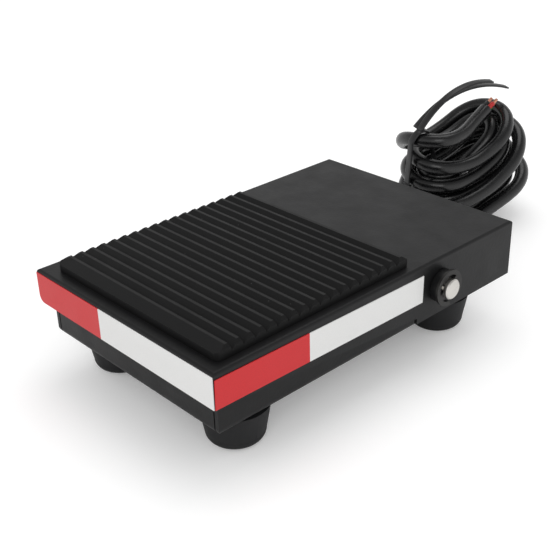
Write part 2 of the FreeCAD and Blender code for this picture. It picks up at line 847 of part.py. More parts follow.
def switch_screw_places():
    """The two screw axes through the switch body."""
    height = switch_bottom + switch_screw_bottom_offset
    return [Vector(switch_x, y_at(switch_front_back + inset), height)
            for inset in (switch_screw_inset, switch_length - switch_screw_inset)]


def lever_pivot():
    """The lever's hinge line at the rear of the switch."""
    return Vector(switch_x, y_at(switch_front_back + switch_length - lever_pivot_inset),
                  switch_bottom + switch_height + lever_pin_radius + lever_pivot_above)


def plunger_place():
    """The plunger's axis, ahead of the lever's hinge."""
    return Vector(switch_x, y_at(switch_front_back + switch_length - plunger_inset), 0)


def switch_body():
    """The moulded case with two ears for the lever's pin."""
    top = switch_bottom + switch_height
    body = block(switch_x - switch_width / 2, switch_x + switch_width / 2, y_at(switch_front_back),
                 y_at(switch_front_back + switch_length), switch_bottom, top)
    body = body.makeChamfer(0.4, edges_where(body, lambda a, b: runs_along(a, b, Z_AXIS)))
    pivot = lever_pivot()
    ear_inner = lever_width / 2 + lever_side_gap
    for side in (-1, 1):
        low = switch_x + side * ear_inner
        high = switch_x + side * switch_width / 2
        ear = block(min(low, high), max(low, high), pivot.y - 1.6, pivot.y + 1.6, top - 0.5, pivot.z + 1.2)
        body = body.fuse(ear)
    bore = cylinder(lever_pin_radius + lever_pin_gap, switch_width + 2, pivot - X_AXIS * (switch_width / 2 + 1), X_AXIS)
    body = body.cut(bore)
    for place in switch_screw_places():
        body = body.cut(cylinder(switch_screw_radius, switch_width + 2, place - X_AXIS * (switch_width / 2 + 1), X_AXIS))
    well = plunger_place() + Vector(0, 0, top - 3.5)
    body = body.cut(cylinder(plunger_radius + plunger_gap, 5, well))
    return body.removeSplitter()


def switch_plunger():
    """The small button that the lever pushes into the case."""
    low = plunger_place() + Vector(0, 0, switch_bottom + switch_height - 2.3)
    top = lever_pivot().z - lever_sheet / 2 - plunger_free_gap
    plunger = cylinder(plunger_radius, top - low.z, low)
    return plunger.makeFillet(0.3, [edge for edge in plunger.Edges if edge.CenterOfMass.z > top - 0.01])


def switch_lever():
    """The leaf lever with its hinge pin and its curled tip."""
    pivot = lever_pivot()
    half = lever_width / 2
    tip_y = y_at(striker_front_back())
    tip_top = under_tread - striker_height - striker_gap
    tip_centre = tip_top - lever_tip_radius
    low = pivot.z - lever_sheet / 2
    leaf_end = plunger_place().y - 2.5
    leaf = block(switch_x - half, switch_x + half, leaf_end, pivot.y, low, low + lever_sheet)
    rise = [
        Vector(switch_x - half, leaf_end + 0.2, low),
        Vector(switch_x - half, leaf_end + 0.2, low + lever_sheet),
        Vector(switch_x - half, tip_y, tip_centre + lever_tip_radius - 0.6),
        Vector(switch_x - half, tip_y, tip_centre + lever_tip_radius - 0.6 - lever_sheet),
    ]
    ramp = polygon_prism(rise, Vector(lever_width, 0, 0))
    curl = cylinder(lever_tip_radius, lever_width, Vector(switch_x - half, tip_y, tip_centre), X_AXIS)
    curl = curl.cut(cylinder(lever_tip_radius - lever_sheet, lever_width, Vector(switch_x - half, tip_y, tip_centre), X_AXIS))
    open_part = block(switch_x - half, switch_x + half, tip_y, tip_y + 3, tip_centre - 3, tip_centre)
    curl = curl.cut(open_part)
    pin = cylinder(lever_pin_radius, switch_width, pivot - X_AXIS * (switch_width / 2), X_AXIS)
    return joined([leaf, ramp, curl, pin])


def switch_bracket():
    """The angle bracket: a foot on the floor and a wall beside the switch."""
    wall_x = switch_x + switch_width / 2
    front = y_at(switch_front_back + 0.5)
    rear = y_at(switch_front_back + switch_length - 0.5)
    wall = block(wall_x, wall_x + bracket_sheet, front, rear, floor_top, switch_bottom + switch_height - 1)
    foot_plate = block(wall_x, wall_x + bracket_sheet + bracket_foot_width, front, rear, floor_top, floor_top + bracket_sheet)
    bracket = joined([wall, foot_plate])
    for place in switch_screw_places():
        bracket = bracket.cut(cylinder(switch_screw_radius, bracket_sheet + 2, Vector(wall_x - 1, place.y, place.z), X_AXIS))
    for place in bracket_rivet_places():
        bracket = bracket.cut(cylinder(rivet_radius, bracket_sheet + 2, place + Vector(0, 0, floor_top - 1)))
    return bracket


def bracket_rivets():
    """The two rivets of the switch bracket."""
    rivets = []
    grip_top = floor_top + bracket_sheet
    for place in bracket_rivet_places():
        shank = cylinder(rivet_radius, grip_top - floor_bottom, place + Vector(0, 0, floor_bottom))
        low = cylinder(rivet_head_radius, rivet_head_height, place + Vector(0, 0, floor_bottom - rivet_head_height))
        high = cylinder(rivet_head_radius, rivet_head_height, place + Vector(0, 0, grip_top))
        rivets.append(joined([low, shank, high]))
    return Part.makeCompound(rivets)


def switch_screws():
    """The two small screws across the switch and its bracket."""
    screws = []
    outer = switch_x + switch_width / 2 + bracket_sheet + switch_nut_height + 0.4
    inner = switch_x - switch_width / 2
    for place in switch_screw_places():
        start = Vector(inner, place.y, place.z)
        shank = cylinder(switch_screw_radius, outer - inner, start, X_AXIS)
        head = cylinder(switch_screw_head_radius, 1.2, start - X_AXIS * 1.2, X_AXIS)
        screws.append(joined([shank, head]))
    return Part.makeCompound(screws)


def switch_nuts():
    """The nuts on the switch screws."""
    nuts = []
    start_x = switch_x + switch_width / 2 + bracket_sheet
    for place in switch_screw_places():
        start = Vector(start_x, place.y, place.z)
        nut = hexagon_bar(switch_nut_flats, switch_nut_height, start, X_AXIS)
        nuts.append(nut.cut(cylinder(switch_screw_radius, switch_nut_height, start, X_AXIS)))
    return Part.makeCompound(nuts)


def terminal_places():
    """The three contact blades under the switch, from front to rear."""
    return [Vector(switch_x, y_at(switch_front_back + inset), switch_bottom) for inset in (3.5, 10.0, 16.5)]


def switch_terminals():
    """The three bent contact blades."""
    blades = []
    half = terminal_width / 2
    for place in terminal_places():
        leg = block(place.x - terminal_thickness, place.x, place.y - half, place.y + half,
                    switch_bottom - terminal_drop, switch_bottom)
        arm = block(place.x - terminal_reach, place.x, place.y - half, place.y + half,
                    switch_bottom - terminal_drop, switch_bottom - terminal_drop + terminal_thickness)
        blades.append(joined([leg, arm]))
    return Part.makeCompound(blades)


def insulating_card():
    """The thin card between the contact blades and the floor."""
    return block(4.0, 16.0, y_at(switch_front_back + 1), y_at(switch_front_back + switch_length - 1),
                 floor_top, floor_top + 0.3)


# The cord entry and what is wired inside.

def strain_relief():
    """The tapered sleeve through the rear wall, with a flange on each side of it."""
    outside = y_at(base_rear_back)
    inside = outside - sheet
    axis_point = Vector(cord_exit_x, outside, cord_exit_height)
    flange = cylinder(relief_flange_radius, relief_flange_height, axis_point, Y_AXIS)
    sleeve = cone(relief_root_radius, relief_tip_radius, relief_reach, axis_point, Y_AXIS)
    neck = cylinder(relief_neck_radius, sheet, axis_point - Y_AXIS * sheet, Y_AXIS)
    collar_start = Vector(cord_exit_x, inside - relief_collar_height, cord_exit_height)
    collar = cylinder(relief_collar_radius, relief_collar_height, collar_start, Y_AXIS)
    sleeve = joined([flange, sleeve, neck, collar])
    for ring in range(4):
        start = axis_point + Y_AXIS * (relief_flange_height + 2.0 + ring * 3.2)
        groove = cylinder(relief_root_radius + 1, 1.2, start, Y_AXIS)
        here = relief_root_radius - (relief_root_radius - relief_tip_radius) * (start.y - outside) / relief_reach
        groove = groove.cut(cylinder(here - 0.7, 1.2, start, Y_AXIS))
        sleeve = sleeve.cut(groove)
    bore = cylinder(cord_radius, relief_reach + sheet + relief_collar_height, collar_start, Y_AXIS)
    return sleeve.cut(bore)


def cord_inner_jacket():
    """The cord's jacket inside the sleeve and the clamp."""
    start = Vector(cord_exit_x, y_at(jacket_inner_back), cord_exit_height)
    return cylinder(cord_radius, y_at(base_rear_back) + relief_reach - start.y, start, Y_AXIS)


def cord_clamp():
    """The saddle that grips the jacket, standing on two feet."""
    low = y_at(clamp_back - clamp_width / 2)
    high = y_at(clamp_back + clamp_width / 2)
    outer = cord_radius + clamp_strap
    reach = clamp_foot_reach + clamp_foot_beyond
    arch = cylinder(outer, clamp_width, Vector(cord_exit_x, low, cord_exit_height), Y_AXIS)
    cheeks = block(cord_exit_x - outer, cord_exit_x + outer, low, high, floor_top, cord_exit_height)
    feet = block(cord_exit_x - reach, cord_exit_x + reach, low, high, floor_top, floor_top + clamp_foot_thickness)
    clamp = joined([arch, cheeks, feet])
    clamp = clamp.cut(cylinder(cord_radius, clamp_width, Vector(cord_exit_x, low, cord_exit_height), Y_AXIS))
    for place in clamp_screw_places():
        clamp = clamp.cut(cylinder(clamp_screw_radius, 3, place + Vector(0, 0, floor_top - 1)))
    return clamp


def clamp_screws():
    """The two screws of the cord clamp."""
    screws = []
    head_base = floor_top + clamp_foot_thickness
    for place in clamp_screw_places():
        shank = cylinder(clamp_screw_radius, head_base - floor_bottom + 1.5, place + Vector(0, 0, floor_bottom - 1.5))
        head = cylinder(clamp_screw_head_radius, clamp_screw_head_height, place + Vector(0, 0, head_base))
        screws.append(joined([shank, head]))
    return Part.makeCompound(screws)


def earth_ring():
    """The ring terminal on the floor, with its crimp barrel."""
    place = earth_place() + Vector(0, 0, floor_top)
    ring = cylinder(3.0, 0.6, place)
    tongue = block(place.x - 1.2, place.x + 1.2, place.y, place.y + 6.0, place.z, place.z + 0.6)
    barrel = cylinder(1.1, earth_barrel_length, place + Vector(0, earth_barrel_start, 1.1), Y_AXIS)
    ring = joined([ring, tongue, barrel])
    return ring.cut(cylinder(clamp_screw_radius, 3, place - Z_AXIS))


def earth_screw():
    """The screw that holds the ring terminal."""
    place = earth_place()
    head_base = floor_top + 0.6
    shank = cylinder(clamp_screw_radius, head_base - floor_bottom + 1.5, place + Vector(0, 0, floor_bottom - 1.5))
    head = cylinder(clamp_screw_head_radius, clamp_screw_head_height, place + Vector(0, 0, head_base))
    return joined([shank, head])


def wire(corners, end, label):
    """One insulated wire along corners given as across, back and height, to an end point."""
    points = [Vector(x, y_at(back), z) for x, back, z in corners] + [end]
    return tube(routed_edges(points, label), wire_radius, label)


def blade_end(place):
    """The middle of a contact blade's free end face."""
    return Vector(place.x - terminal_reach, place.y, switch_bottom - terminal_drop + terminal_thickness / 2)


def red_wire():
    """From the jacket to the front contact blade."""
    end = blade_end(terminal_places()[0])
    across, _, height = red_wire_turns[0]
    corners = ((across, jacket_inner_back, height),) + red_wire_turns + (
        (-1.0, 53.0, end.z), (2.4, back_of(end.y), end.z))
    return wire(corners, end, "red_wire")


def black_wire():
    """From the jacket to the rear contact blade."""
    end = blade_end(terminal_places()[2])
    across, _, height = black_wire_turns[0]
    corners = ((across, jacket_inner_back, height),) + black_wire_turns + ((4.0, back_of(end.y), end.z),)
    return wire(corners, end, "black_wire")


def green_wire():
    """From the jacket to the ring terminal on the floor."""
    end = earth_place() + Vector(0, earth_barrel_start + earth_barrel_length, floor_top + 1.1)
    across, _, height = green_wire_turns[0]
    corners = ((across, jacket_inner_back, height),) + green_wire_turns + ((end.x, 74.2, end.z),)
    return wire(corners, end, "green_wire")


# The spare cord.

def racetrack(lap, half_length, half_width):
    """A place on a racetrack loop: middle of the right side first, counter-clockwise."""
    straight = half_length - half_width
    around = 4 * straight + 2 * math.pi * half_width
    travelled = (lap % 1.0) * around
    if travelled < straight:
        return half_width, travelled
    travelled -= straight
    if travelled < math.pi * half_width:
        angle = travelled / half_width
        return half_width * math.cos(angle), straight + half_width * math.sin(angle)
    travelled -= math.pi * half_width
    if travelled < 2 * straight:
        return -half_width, straight - travelled
    travelled -= 2 * straight
    if travelled < math.pi * half_width:
        angle = travelled / half_width
        return -half_width * math.cos(angle), -straight - half_width * math.sin(angle)
    travelled -= math.pi * half_width
    return half_width, -straight + travelled


def smooth(part):
    """An even ease from 0 to 1."""
    part = min(1.0, max(0.0, part))
    return part * part * (3 - 2 * part)


def hank_flat_point(lap):
    """A place in the hank before it is tilted: it spirals in and out and climbs a layer at each reversal."""
    in_and_out = lap % 4
    if in_and_out > 2:
        in_and_out = 4 - in_and_out
    inward = hank_pitch * in_and_out
    level = 0.0
    for reversal in (2, 4, 6):
        level += smooth((lap - reversal + 0.25) / 0.5)
    across, along = racetrack(lap, hank_half_length - inward, hank_half_width - inward)
    end_step = hank_far_step if along > 0 else hank_near_step
    step = hank_waist_step + (end_step - hank_waist_step) * smooth(abs(along) / hank_half_length)
    return Vector(across, along, level * step)


def hank_attitude():
    """The hank's lean to one side, rise to the rear and turn about the vertical."""
    whole = FreeCAD.Rotation(Z_AXIS, hank_turn)
    whole = whole.multiply(FreeCAD.Rotation(X_AXIS, hank_rise))
    return whole.multiply(FreeCAD.Rotation(Y_AXIS, -hank_tilt))


def hank_lift():
    """How far up the tilted hank moves so that its lowest loop rests on the floor."""
    steps = int(hank_laps * samples_per_lap)
    attitude = hank_attitude()
    lowest = min(attitude.multVec(hank_flat_point(step / samples_per_lap)).z for step in range(steps + 1))
    return cord_radius + hank_floor_gap - lowest


hank_placement = FreeCAD.Placement(Vector(hank_x, y_at(hank_back), hank_lift()), hank_attitude())


def hank_point(lap):
    """A place on the hank's middle line after this many laps."""
    return hank_placement.multVec(hank_flat_point(lap))


def hank_start():
    """Where the hank's tube begins, and its direction there."""
    way = way_at(hank_point, 0, 0, hank_laps)
    return hank_point(0) - way * cord_diameter, way


def hank_end():
    """Where the hank's tube ends, and its direction there."""
    way = way_at(hank_point, hank_laps, 0, hank_laps)
    return hank_point(hank_laps) + way * cord_diameter, way


def cord_hank():
    """The tied loops as one unbroken tube, its ends straight for one diameter."""
    steps = int(hank_laps * samples_per_lap)
    points = [hank_point(step / samples_per_lap) for step in range(steps + 1)]
    print_least_gap(points, samples_per_lap // 3, cord_diameter, "cord_hank")
    edges = [Part.LineSegment(hank_start()[0], hank_point(0)).toShape()]
    edges += turned_edges(hank_point, hank_laps, 4)
    edges.append(Part.LineSegment(hank_point(hank_laps), hank_end()[0]).toShape())
    return tube(edges, cord_radius, "cord_hank")


def cord_lead():
    """The stretch from the sleeve down to the hank's start."""
    relief_end = Vector(cord_exit_x, y_at(base_rear_back) + relief_reach, cord_exit_height)
    start, way = hank_start()
    leaving = relief_end + Y_AXIS * lead_exit_run
    arriving = start - way * lead_arrival_run
    span = arriving - leaving
    points = [
        relief_end,
        leaving,
        leaving + span * 0.38 + Vector(-lead_side_sag / 2, 0, -lead_sag / 3),
        leaving + span * 0.70 + Vector(-lead_side_sag, 0, -lead_sag),
        arriving,
        start,
    ]
    return tube(routed_edges(points, "cord_lead"), cord_radius, "cord_lead")


def tail_points():
    """The corners of the free end's route: up beside the near folds, across them and back over the hank."""
    here, way = hank_end()
    points = [here, here + way * tail_first_run]
    for across, along, height in tail_turns:
        points.append(hank_placement.multVec(Vector(across, along, height)))
    return points


def cord_tail():
    """The free end of the cord, which crosses over the hank."""
    return tube(routed_edges(tail_points(), "cord_tail"), cord_radius, "cord_tail")


def end_frame():
    """The middle of the cord's cut face, the way it looks, and two directions across it."""
    points = tail_points()
    way = (points[-1] - points[-2]).normalize()
    across = way.cross(Z_AXIS).normalize()
    return points[-1], way, across, across.cross(way)


def core_places():
    """Where the three cores leave the cut face."""
    middle, way, across, upward = end_frame()
    places = []
    for third in range(3):
        angle = math.radians(120 * third + 30)
        places.append(middle + across * (core_offset * math.cos(angle)) + upward * (core_offset * math.sin(angle)))
    return places, way


def cord_end_cores():
    """The three insulated cores that stand out of the cut jacket."""
    places, way = core_places()
    return Part.makeCompound([cylinder(core_radius, core_length, place, way) for place in places])


def cord_end_strands():
    """The bare copper ends of the cores."""
    places, way = core_places()
    return Part.makeCompound([cylinder(strand_radius, strand_length, place + way * core_length, way)
                              for place in places])


def tie_free_end(start, reach, rise, bulge):
    """One free end of the tie: a thin strip that arches over the hank towards its far side."""
    middle = start + Vector(0, reach / 2, rise / 2 + bulge)
    end = start + Vector(0, reach, rise)
    thick = Vector(0, 0, tie_thickness)
    outline = Part.Wire([
        Part.Arc(start, middle, end).toShape(),
        Part.LineSegment(end, end + thick).toShape(),
        Part.Arc(end + thick, middle + thick, start + thick).toShape(),
        Part.LineSegment(start + thick, start).toShape(),
    ])
    return Part.Face(outline).extrude(Vector(tie_width, 0, 0))


def plate_round_folds(reach):
    """A plate across the hank's middle plane that covers its near folds and this much round them."""
    folds = [hank_flat_point(lap) for lap in tie_outer_laps]
    folds += [Vector(0, along, height) for along, height in tail_crossings]
    folds += [hank_flat_point(lap) + Vector(0, tie_inner_shift, 0) for lap in tie_inner_laps]
    outline = Part.makePolygon([Vector(-tie_width / 2, fold.y, fold.z) for fold in folds + folds[:1]])
    return Part.Face(outline.makeOffset2D(reach)).extrude(Vector(tie_width, 0, 0))


def hank_tie():
    """The flat tie: a closed band round all the near folds, and two free ends."""
    around = cord_radius + tie_gap
    band = plate_round_folds(around + tie_thickness).cut(plate_round_folds(around))
    along, height = tail_crossings[-1]
    start = Vector(-tie_width / 2, along, height + around + 0.3 * tie_thickness)
    upper = tie_free_end(start, tie_upper_reach, tie_upper_rise, tie_upper_bulge)
    lower = tie_free_end(start + Vector(tie_lower_shift, 0, 0), tie_lower_reach, tie_lower_rise, tie_lower_bulge)
    tie = joined([band, upper, lower])
    tie.Placement = hank_placement
    return tie


def write(name, shape):
    """Check a node's shape and write its file."""
    solids = shape.Solids
    good = shape.isValid() and len(solids) > 0
    box = shape.BoundBox
    print(f"{name:20s} valid {good} solids {len(solids)} volume {shape.Volume:9.1f} "
          f"x {box.XMin:7.2f} {box.XMax:7.2f} y {box.YMin:7.2f} {box.YMax:7.2f} z {box.ZMin:6.2f} {box.ZMax:6.2f}")
    shape.exportStep(f"parts/{name}.step")


makers = {
    "treadle_cover": treadle_cover,
    "tread_pad": tread_pad,
    "front_strip_red": lambda: front_strip_half(-1),
    "front_strip_white": lambda: front_strip_half(1),
    "side_strip_red": lambda: side_strip_half(-1),
    "side_strip_white": lambda: side_strip_half(1),
    "striker_plate": striker_plate,
    "spring_cup": spring_cup,
    "base_tray": base_tray,
    "hinge_pin": hinge_pin,
    "pin_spacers": pin_spacers,
    "retaining_clips": retaining_clips,
    "foot_screws": foot_screws,
    "foot_nuts": foot_nuts,
    "spring_seat": spring_seat,
    "return_spring": return_spring,
    "down_stop": down_stop,
    "rest_stops": rest_stops,
    "switch_body": switch_body,
    "switch_plunger": switch_plunger,
    "switch_lever": switch_lever,
    "switch_bracket": switch_bracket,
    "bracket_rivets": bracket_rivets,
    "switch_screws": switch_screws,
    "switch_nuts": switch_nuts,
    "switch_terminals": switch_terminals,
    "insulating_card": insulating_card,
    "strain_relief": strain_relief,
    "cord_inner_jacket": cord_inner_jacket,
    "cord_clamp": cord_clamp,
    "clamp_screws": clamp_screws,
    "earth_ring": earth_ring,
    "earth_screw": earth_screw,
    "red_wire": red_wire,
    "black_wire": black_wire,
    "green_wire": green_wire,
    "cord_lead": cord_lead,
    "cord_hank": cord_hank,
    "cord_tail": cord_tail,
    "cord_end_cores": cord_end_cores,
    "cord_end_strands": cord_end_strands,
    "hank_tie": hank_tie,
}

for node_name, maker in makers.items():
    write(node_name, maker())

for foot_name, foot_place in foot_places():
    write("foot_" + foot_name, foot(foot_place))
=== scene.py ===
"""Looks of a small foot pedal for a sewing machine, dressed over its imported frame. Lengths are in metres."""

import logging
import math
from dataclasses import dataclass
from enum import Enum
from functools import cache

import bpy
from mathutils import Matrix, Vector


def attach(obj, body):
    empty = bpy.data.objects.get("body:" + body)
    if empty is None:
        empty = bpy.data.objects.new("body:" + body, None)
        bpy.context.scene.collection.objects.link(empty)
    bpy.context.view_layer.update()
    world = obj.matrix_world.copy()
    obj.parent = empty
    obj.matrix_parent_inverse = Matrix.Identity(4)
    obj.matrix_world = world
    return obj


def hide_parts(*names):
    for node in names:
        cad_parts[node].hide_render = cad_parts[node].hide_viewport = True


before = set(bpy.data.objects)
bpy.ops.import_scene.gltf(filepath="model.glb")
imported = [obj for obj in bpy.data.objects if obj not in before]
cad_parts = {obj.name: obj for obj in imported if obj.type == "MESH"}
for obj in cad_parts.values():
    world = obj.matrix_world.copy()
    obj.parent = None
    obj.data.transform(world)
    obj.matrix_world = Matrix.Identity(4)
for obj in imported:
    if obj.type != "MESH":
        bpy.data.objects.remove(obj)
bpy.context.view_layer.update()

log = logging.getLogger("pedal")
Colour = tuple[float, float, float]
Pair = tuple[float, float]
Triple = tuple[float, float, float]


class Body(Enum):
    """The body that new pieces ride on."""

    BASE = "base"


class NodeGraph:
    """The node tree of one material, with short ways to add what the finishes share."""

    def __init__(self, name: str) -> None:
        """Starts a material with one surface shader.

        Args:
            name: the material's name.
        """
        self.material = bpy.data.materials.new(name)
        self.material.use_nodes = True
        self.nodes = self.material.node_tree.nodes
        self.links = self.material.node_tree.links
        self.surface = self.nodes["Principled BSDF"]
        self.place = self.nodes.new("ShaderNodeTexCoord").outputs["Object"]

    def stretched(self, scale: Triple) -> bpy.types.NodeSocket:
        """Places on the object, stretched along its axes.

        Args:
            scale: how much faster a pattern repeats along X, Y and Z.

        Returns:
            The stretched places.
        """
        mapping = self.nodes.new("ShaderNodeMapping")
        mapping.inputs["Scale"].default_value = scale
        self.links.new(self.place, mapping.inputs["Vector"])
        return mapping.outputs["Vector"]

    def noise(self, size: float, detail: float = 2.0, scale: Triple = (1, 1, 1)) -> bpy.types.NodeSocket:
        """Soft random lumps.

        Args:
            size: how far apart the lumps are, in metres.
            detail: how many finer layers lie on them.
            scale: how much closer they lie along X, Y and Z.

        Returns:
            A value from 0 to 1.
        """
        noise = self.nodes.new("ShaderNodeTexNoise")
        noise.inputs["Scale"].default_value = 1 / size
        noise.inputs["Detail"].default_value = detail
        self.links.new(self.stretched(scale), noise.inputs["Vector"])
        return noise.outputs["Fac"]

    def cells(self, size: float) -> bpy.types.NodeSocket:
        """Distance to the nearest of many scattered points.

        Args:
            size: how far apart the points are, in metres.

        Returns:
            A value from 0 at a point to about 1 between them.
        """
        cells = self.nodes.new("ShaderNodeTexVoronoi")
        cells.inputs["Scale"].default_value = 1 / size
        self.links.new(self.place, cells.inputs["Vector"])
        return cells.outputs["Distance"]

    def spread(self, value: bpy.types.NodeSocket, low: float, high: float,
               from_low: float = 0.3, from_high: float = 0.7) -> bpy.types.NodeSocket:
        """Maps the middle of a value's range to another range.

        Args:
            value: what is mapped.
            low: the result at from_low.
            high: the result at from_high.
            from_low: the lower end of the value's range.
            from_high: the upper end of the value's range.

        Returns:
            The mapped value.
        """
        ranged = self.nodes.new("ShaderNodeMapRange")
        self.links.new(value, ranged.inputs["Value"])
        ranged.inputs["From Min"].default_value = from_low
        ranged.inputs["From Max"].default_value = from_high
        ranged.inputs["To Min"].default_value = low
        ranged.inputs["To Max"].default_value = high
        return ranged.outputs["Result"]

    def blended(self, share: bpy.types.NodeSocket, first: Colour, second: Colour) -> bpy.types.NodeSocket:
        """A colour between two others.

        Args:
            share: 0 for the first colour, 1 for the second.
            first: the first colour.
            second: the second colour.

        Returns:
            The blended colour.
        """
        mix = self.nodes.new("ShaderNodeMix")
        mix.data_type = "RGBA"
        self.links.new(share, mix.inputs["Factor"])
        mix.inputs["A"].default_value = (*first, 1)
        mix.inputs["B"].default_value = (*second, 1)
        return mix.outputs["Result"]

    def total(self, first: bpy.types.NodeSocket, second: bpy.types.NodeSocket,
              share: float) -> bpy.types.NodeSocket:
        """The first value plus a share of the second.

        Args:
            first: the first value.
            second: the second value.
            share: how much of the second is added.

        Returns:
            The sum.
        """
        total = self.nodes.new("ShaderNodeMath")
        total.operation = "MULTIPLY_ADD"
        self.links.new(second, total.inputs[0])
        total.inputs[1].default_value = share
        self.links.new(first, total.inputs[2])
        return total.outputs["Value"]

    def bump(self, height: bpy.types.NodeSocket, depth: float) -> None:
        """Gives the surface small dents and lumps.

        Args:
            height: the relief, from 0 to 1.
            depth: how deep the relief is, in metres.
        """
        bump = self.nodes.new("ShaderNodeBump")
        bump.inputs["Strength"].default_value = 1.0
        bump.inputs["Distance"].default_value = depth
        self.links.new(height, bump.inputs["Height"])
        self.links.new(bump.outputs["Normal"], self.surface.inputs["Normal"])


@dataclass(frozen=True)
class Finish:
    """What every finish has: a colour, a gloss, patches and a grain. Sizes and depths are in metres."""

    name: str
    colour: Colour
    roughness: float
    specular: float = 0.5
    metallic: float = 0.0
    patch_size: float = 0.02
    patch_share: float = 0.12
    rough_share: float = 0.12
    grain_size: float = 0.0006
    grain_depth: float = 0.000004

    def shaded(self, share: float) -> Colour:
        """The finish's colour made lighter or darker by a share of itself."""
        return tuple(min(1.0, channel * (1 + share)) for channel in self.colour)

    def lay_colour(self, graph: NodeGraph) -> None:
        """Gives the surface its colour, a little uneven.

        Args:
            graph: the material's nodes.
        """
        patches = graph.spread(graph.noise(self.patch_size, 3.0), 0.0, 1.0)
        colour = graph.blended(patches, self.shaded(-self.patch_share), self.shaded(self.patch_share))
        graph.links.new(colour, graph.surface.inputs["Base Color"])

    def lay_gloss(self, graph: NodeGraph) -> None:
        """Gives the surface its gloss, a little uneven.

        Args:
            graph: the material's nodes.
        """
        low = self.roughness * (1 - self.rough_share)
        high = min(1.0, self.roughness * (1 + self.rough_share))
        rough = graph.spread(graph.noise(self.patch_size / 3, 4.0), low, high)
        graph.links.new(rough, graph.surface.inputs["Roughness"])
        graph.surface.inputs["Specular IOR Level"].default_value = self.specular
        graph.surface.inputs["Metallic"].default_value = self.metallic

    def lay_grain(self, graph: NodeGraph) -> None:
        """Gives the surface its small relief.

        Args:
            graph: the material's nodes.
        """
        graph.bump(graph.noise(self.grain_size, 3.0), self.grain_depth)

    def material(self) -> bpy.types.Material:
        """Builds the material.

        Returns:
            The new material.
        """
        graph = NodeGraph(self.name)
        self.lay_colour(graph)
        self.lay_gloss(graph)
        self.lay_grain(graph)
        return graph.material


@dataclass(frozen=True)
class PowderCoat(Finish):
    """Baked powder paint on folded sheet: satin, with the skin of an orange."""

    skin_size: float = 0.0009
    fleck_size: float = 0.0003
    fleck_share: float = 0.5

    def lay_grain(self, graph: NodeGraph) -> None:
        """Gives the paint its orange skin and finer flecks.

        Args:
            graph: the material's nodes.
        """
        skin = graph.noise(self.skin_size, 1.0)
        flecks = graph.noise(self.fleck_size, 1.0)
        graph.bump(graph.total(skin, flecks, self.fleck_share), self.grain_depth)


@dataclass(frozen=True)
class MouldedRubber(Finish):
    """Black rubber from a fine-blasted mould, with a little dust on it."""

    dust: Colour = (0.09, 0.09, 0.09)
    dust_size: float = 0.004
    dust_reach: float = 0.035

    def lay_colour(self, graph: NodeGraph) -> None:
        """Gives the rubber its colour and a few specks of dust.

        Args:
            graph: the material's nodes.
        """
        specks = graph.spread(graph.cells(self.dust_size), 1.0, 0.0, 0.4 * self.dust_reach, self.dust_reach)
        colour = graph.blended(specks, self.colour, self.dust)
        graph.links.new(colour, graph.surface.inputs["Base Color"])


@dataclass(frozen=True)
class TurnedMetal(Finish):
    """Machined or rolled metal, with fine marks round one axis."""

    marks: Triple = (1, 40, 40)

    def lay_grain(self, graph: NodeGraph) -> None:
        """Gives the metal its fine tool marks.

        Args:
            graph: the material's nodes.
        """
        graph.bump(graph.noise(self.grain_size, 3.0, self.marks), self.grain_depth)


@dataclass(frozen=True)
class PrintedFilm(Finish):
    """Thin printed film: even colour, faint print grain and a smooth face."""

    print_size: float = 0.00025
    print_share: float = 0.05

    def lay_colour(self, graph: NodeGraph) -> None:
        """Gives the film its even colour with a faint print grain.

        Args:
            graph: the material's nodes.
        """
        grain = graph.spread(graph.noise(self.print_size, 1.0), 0.0, 1.0)
        colour = graph.blended(grain, self.shaded(-self.print_share), self.shaded(self.print_share))
        graph.links.new(colour, graph.surface.inputs["Base Color"])


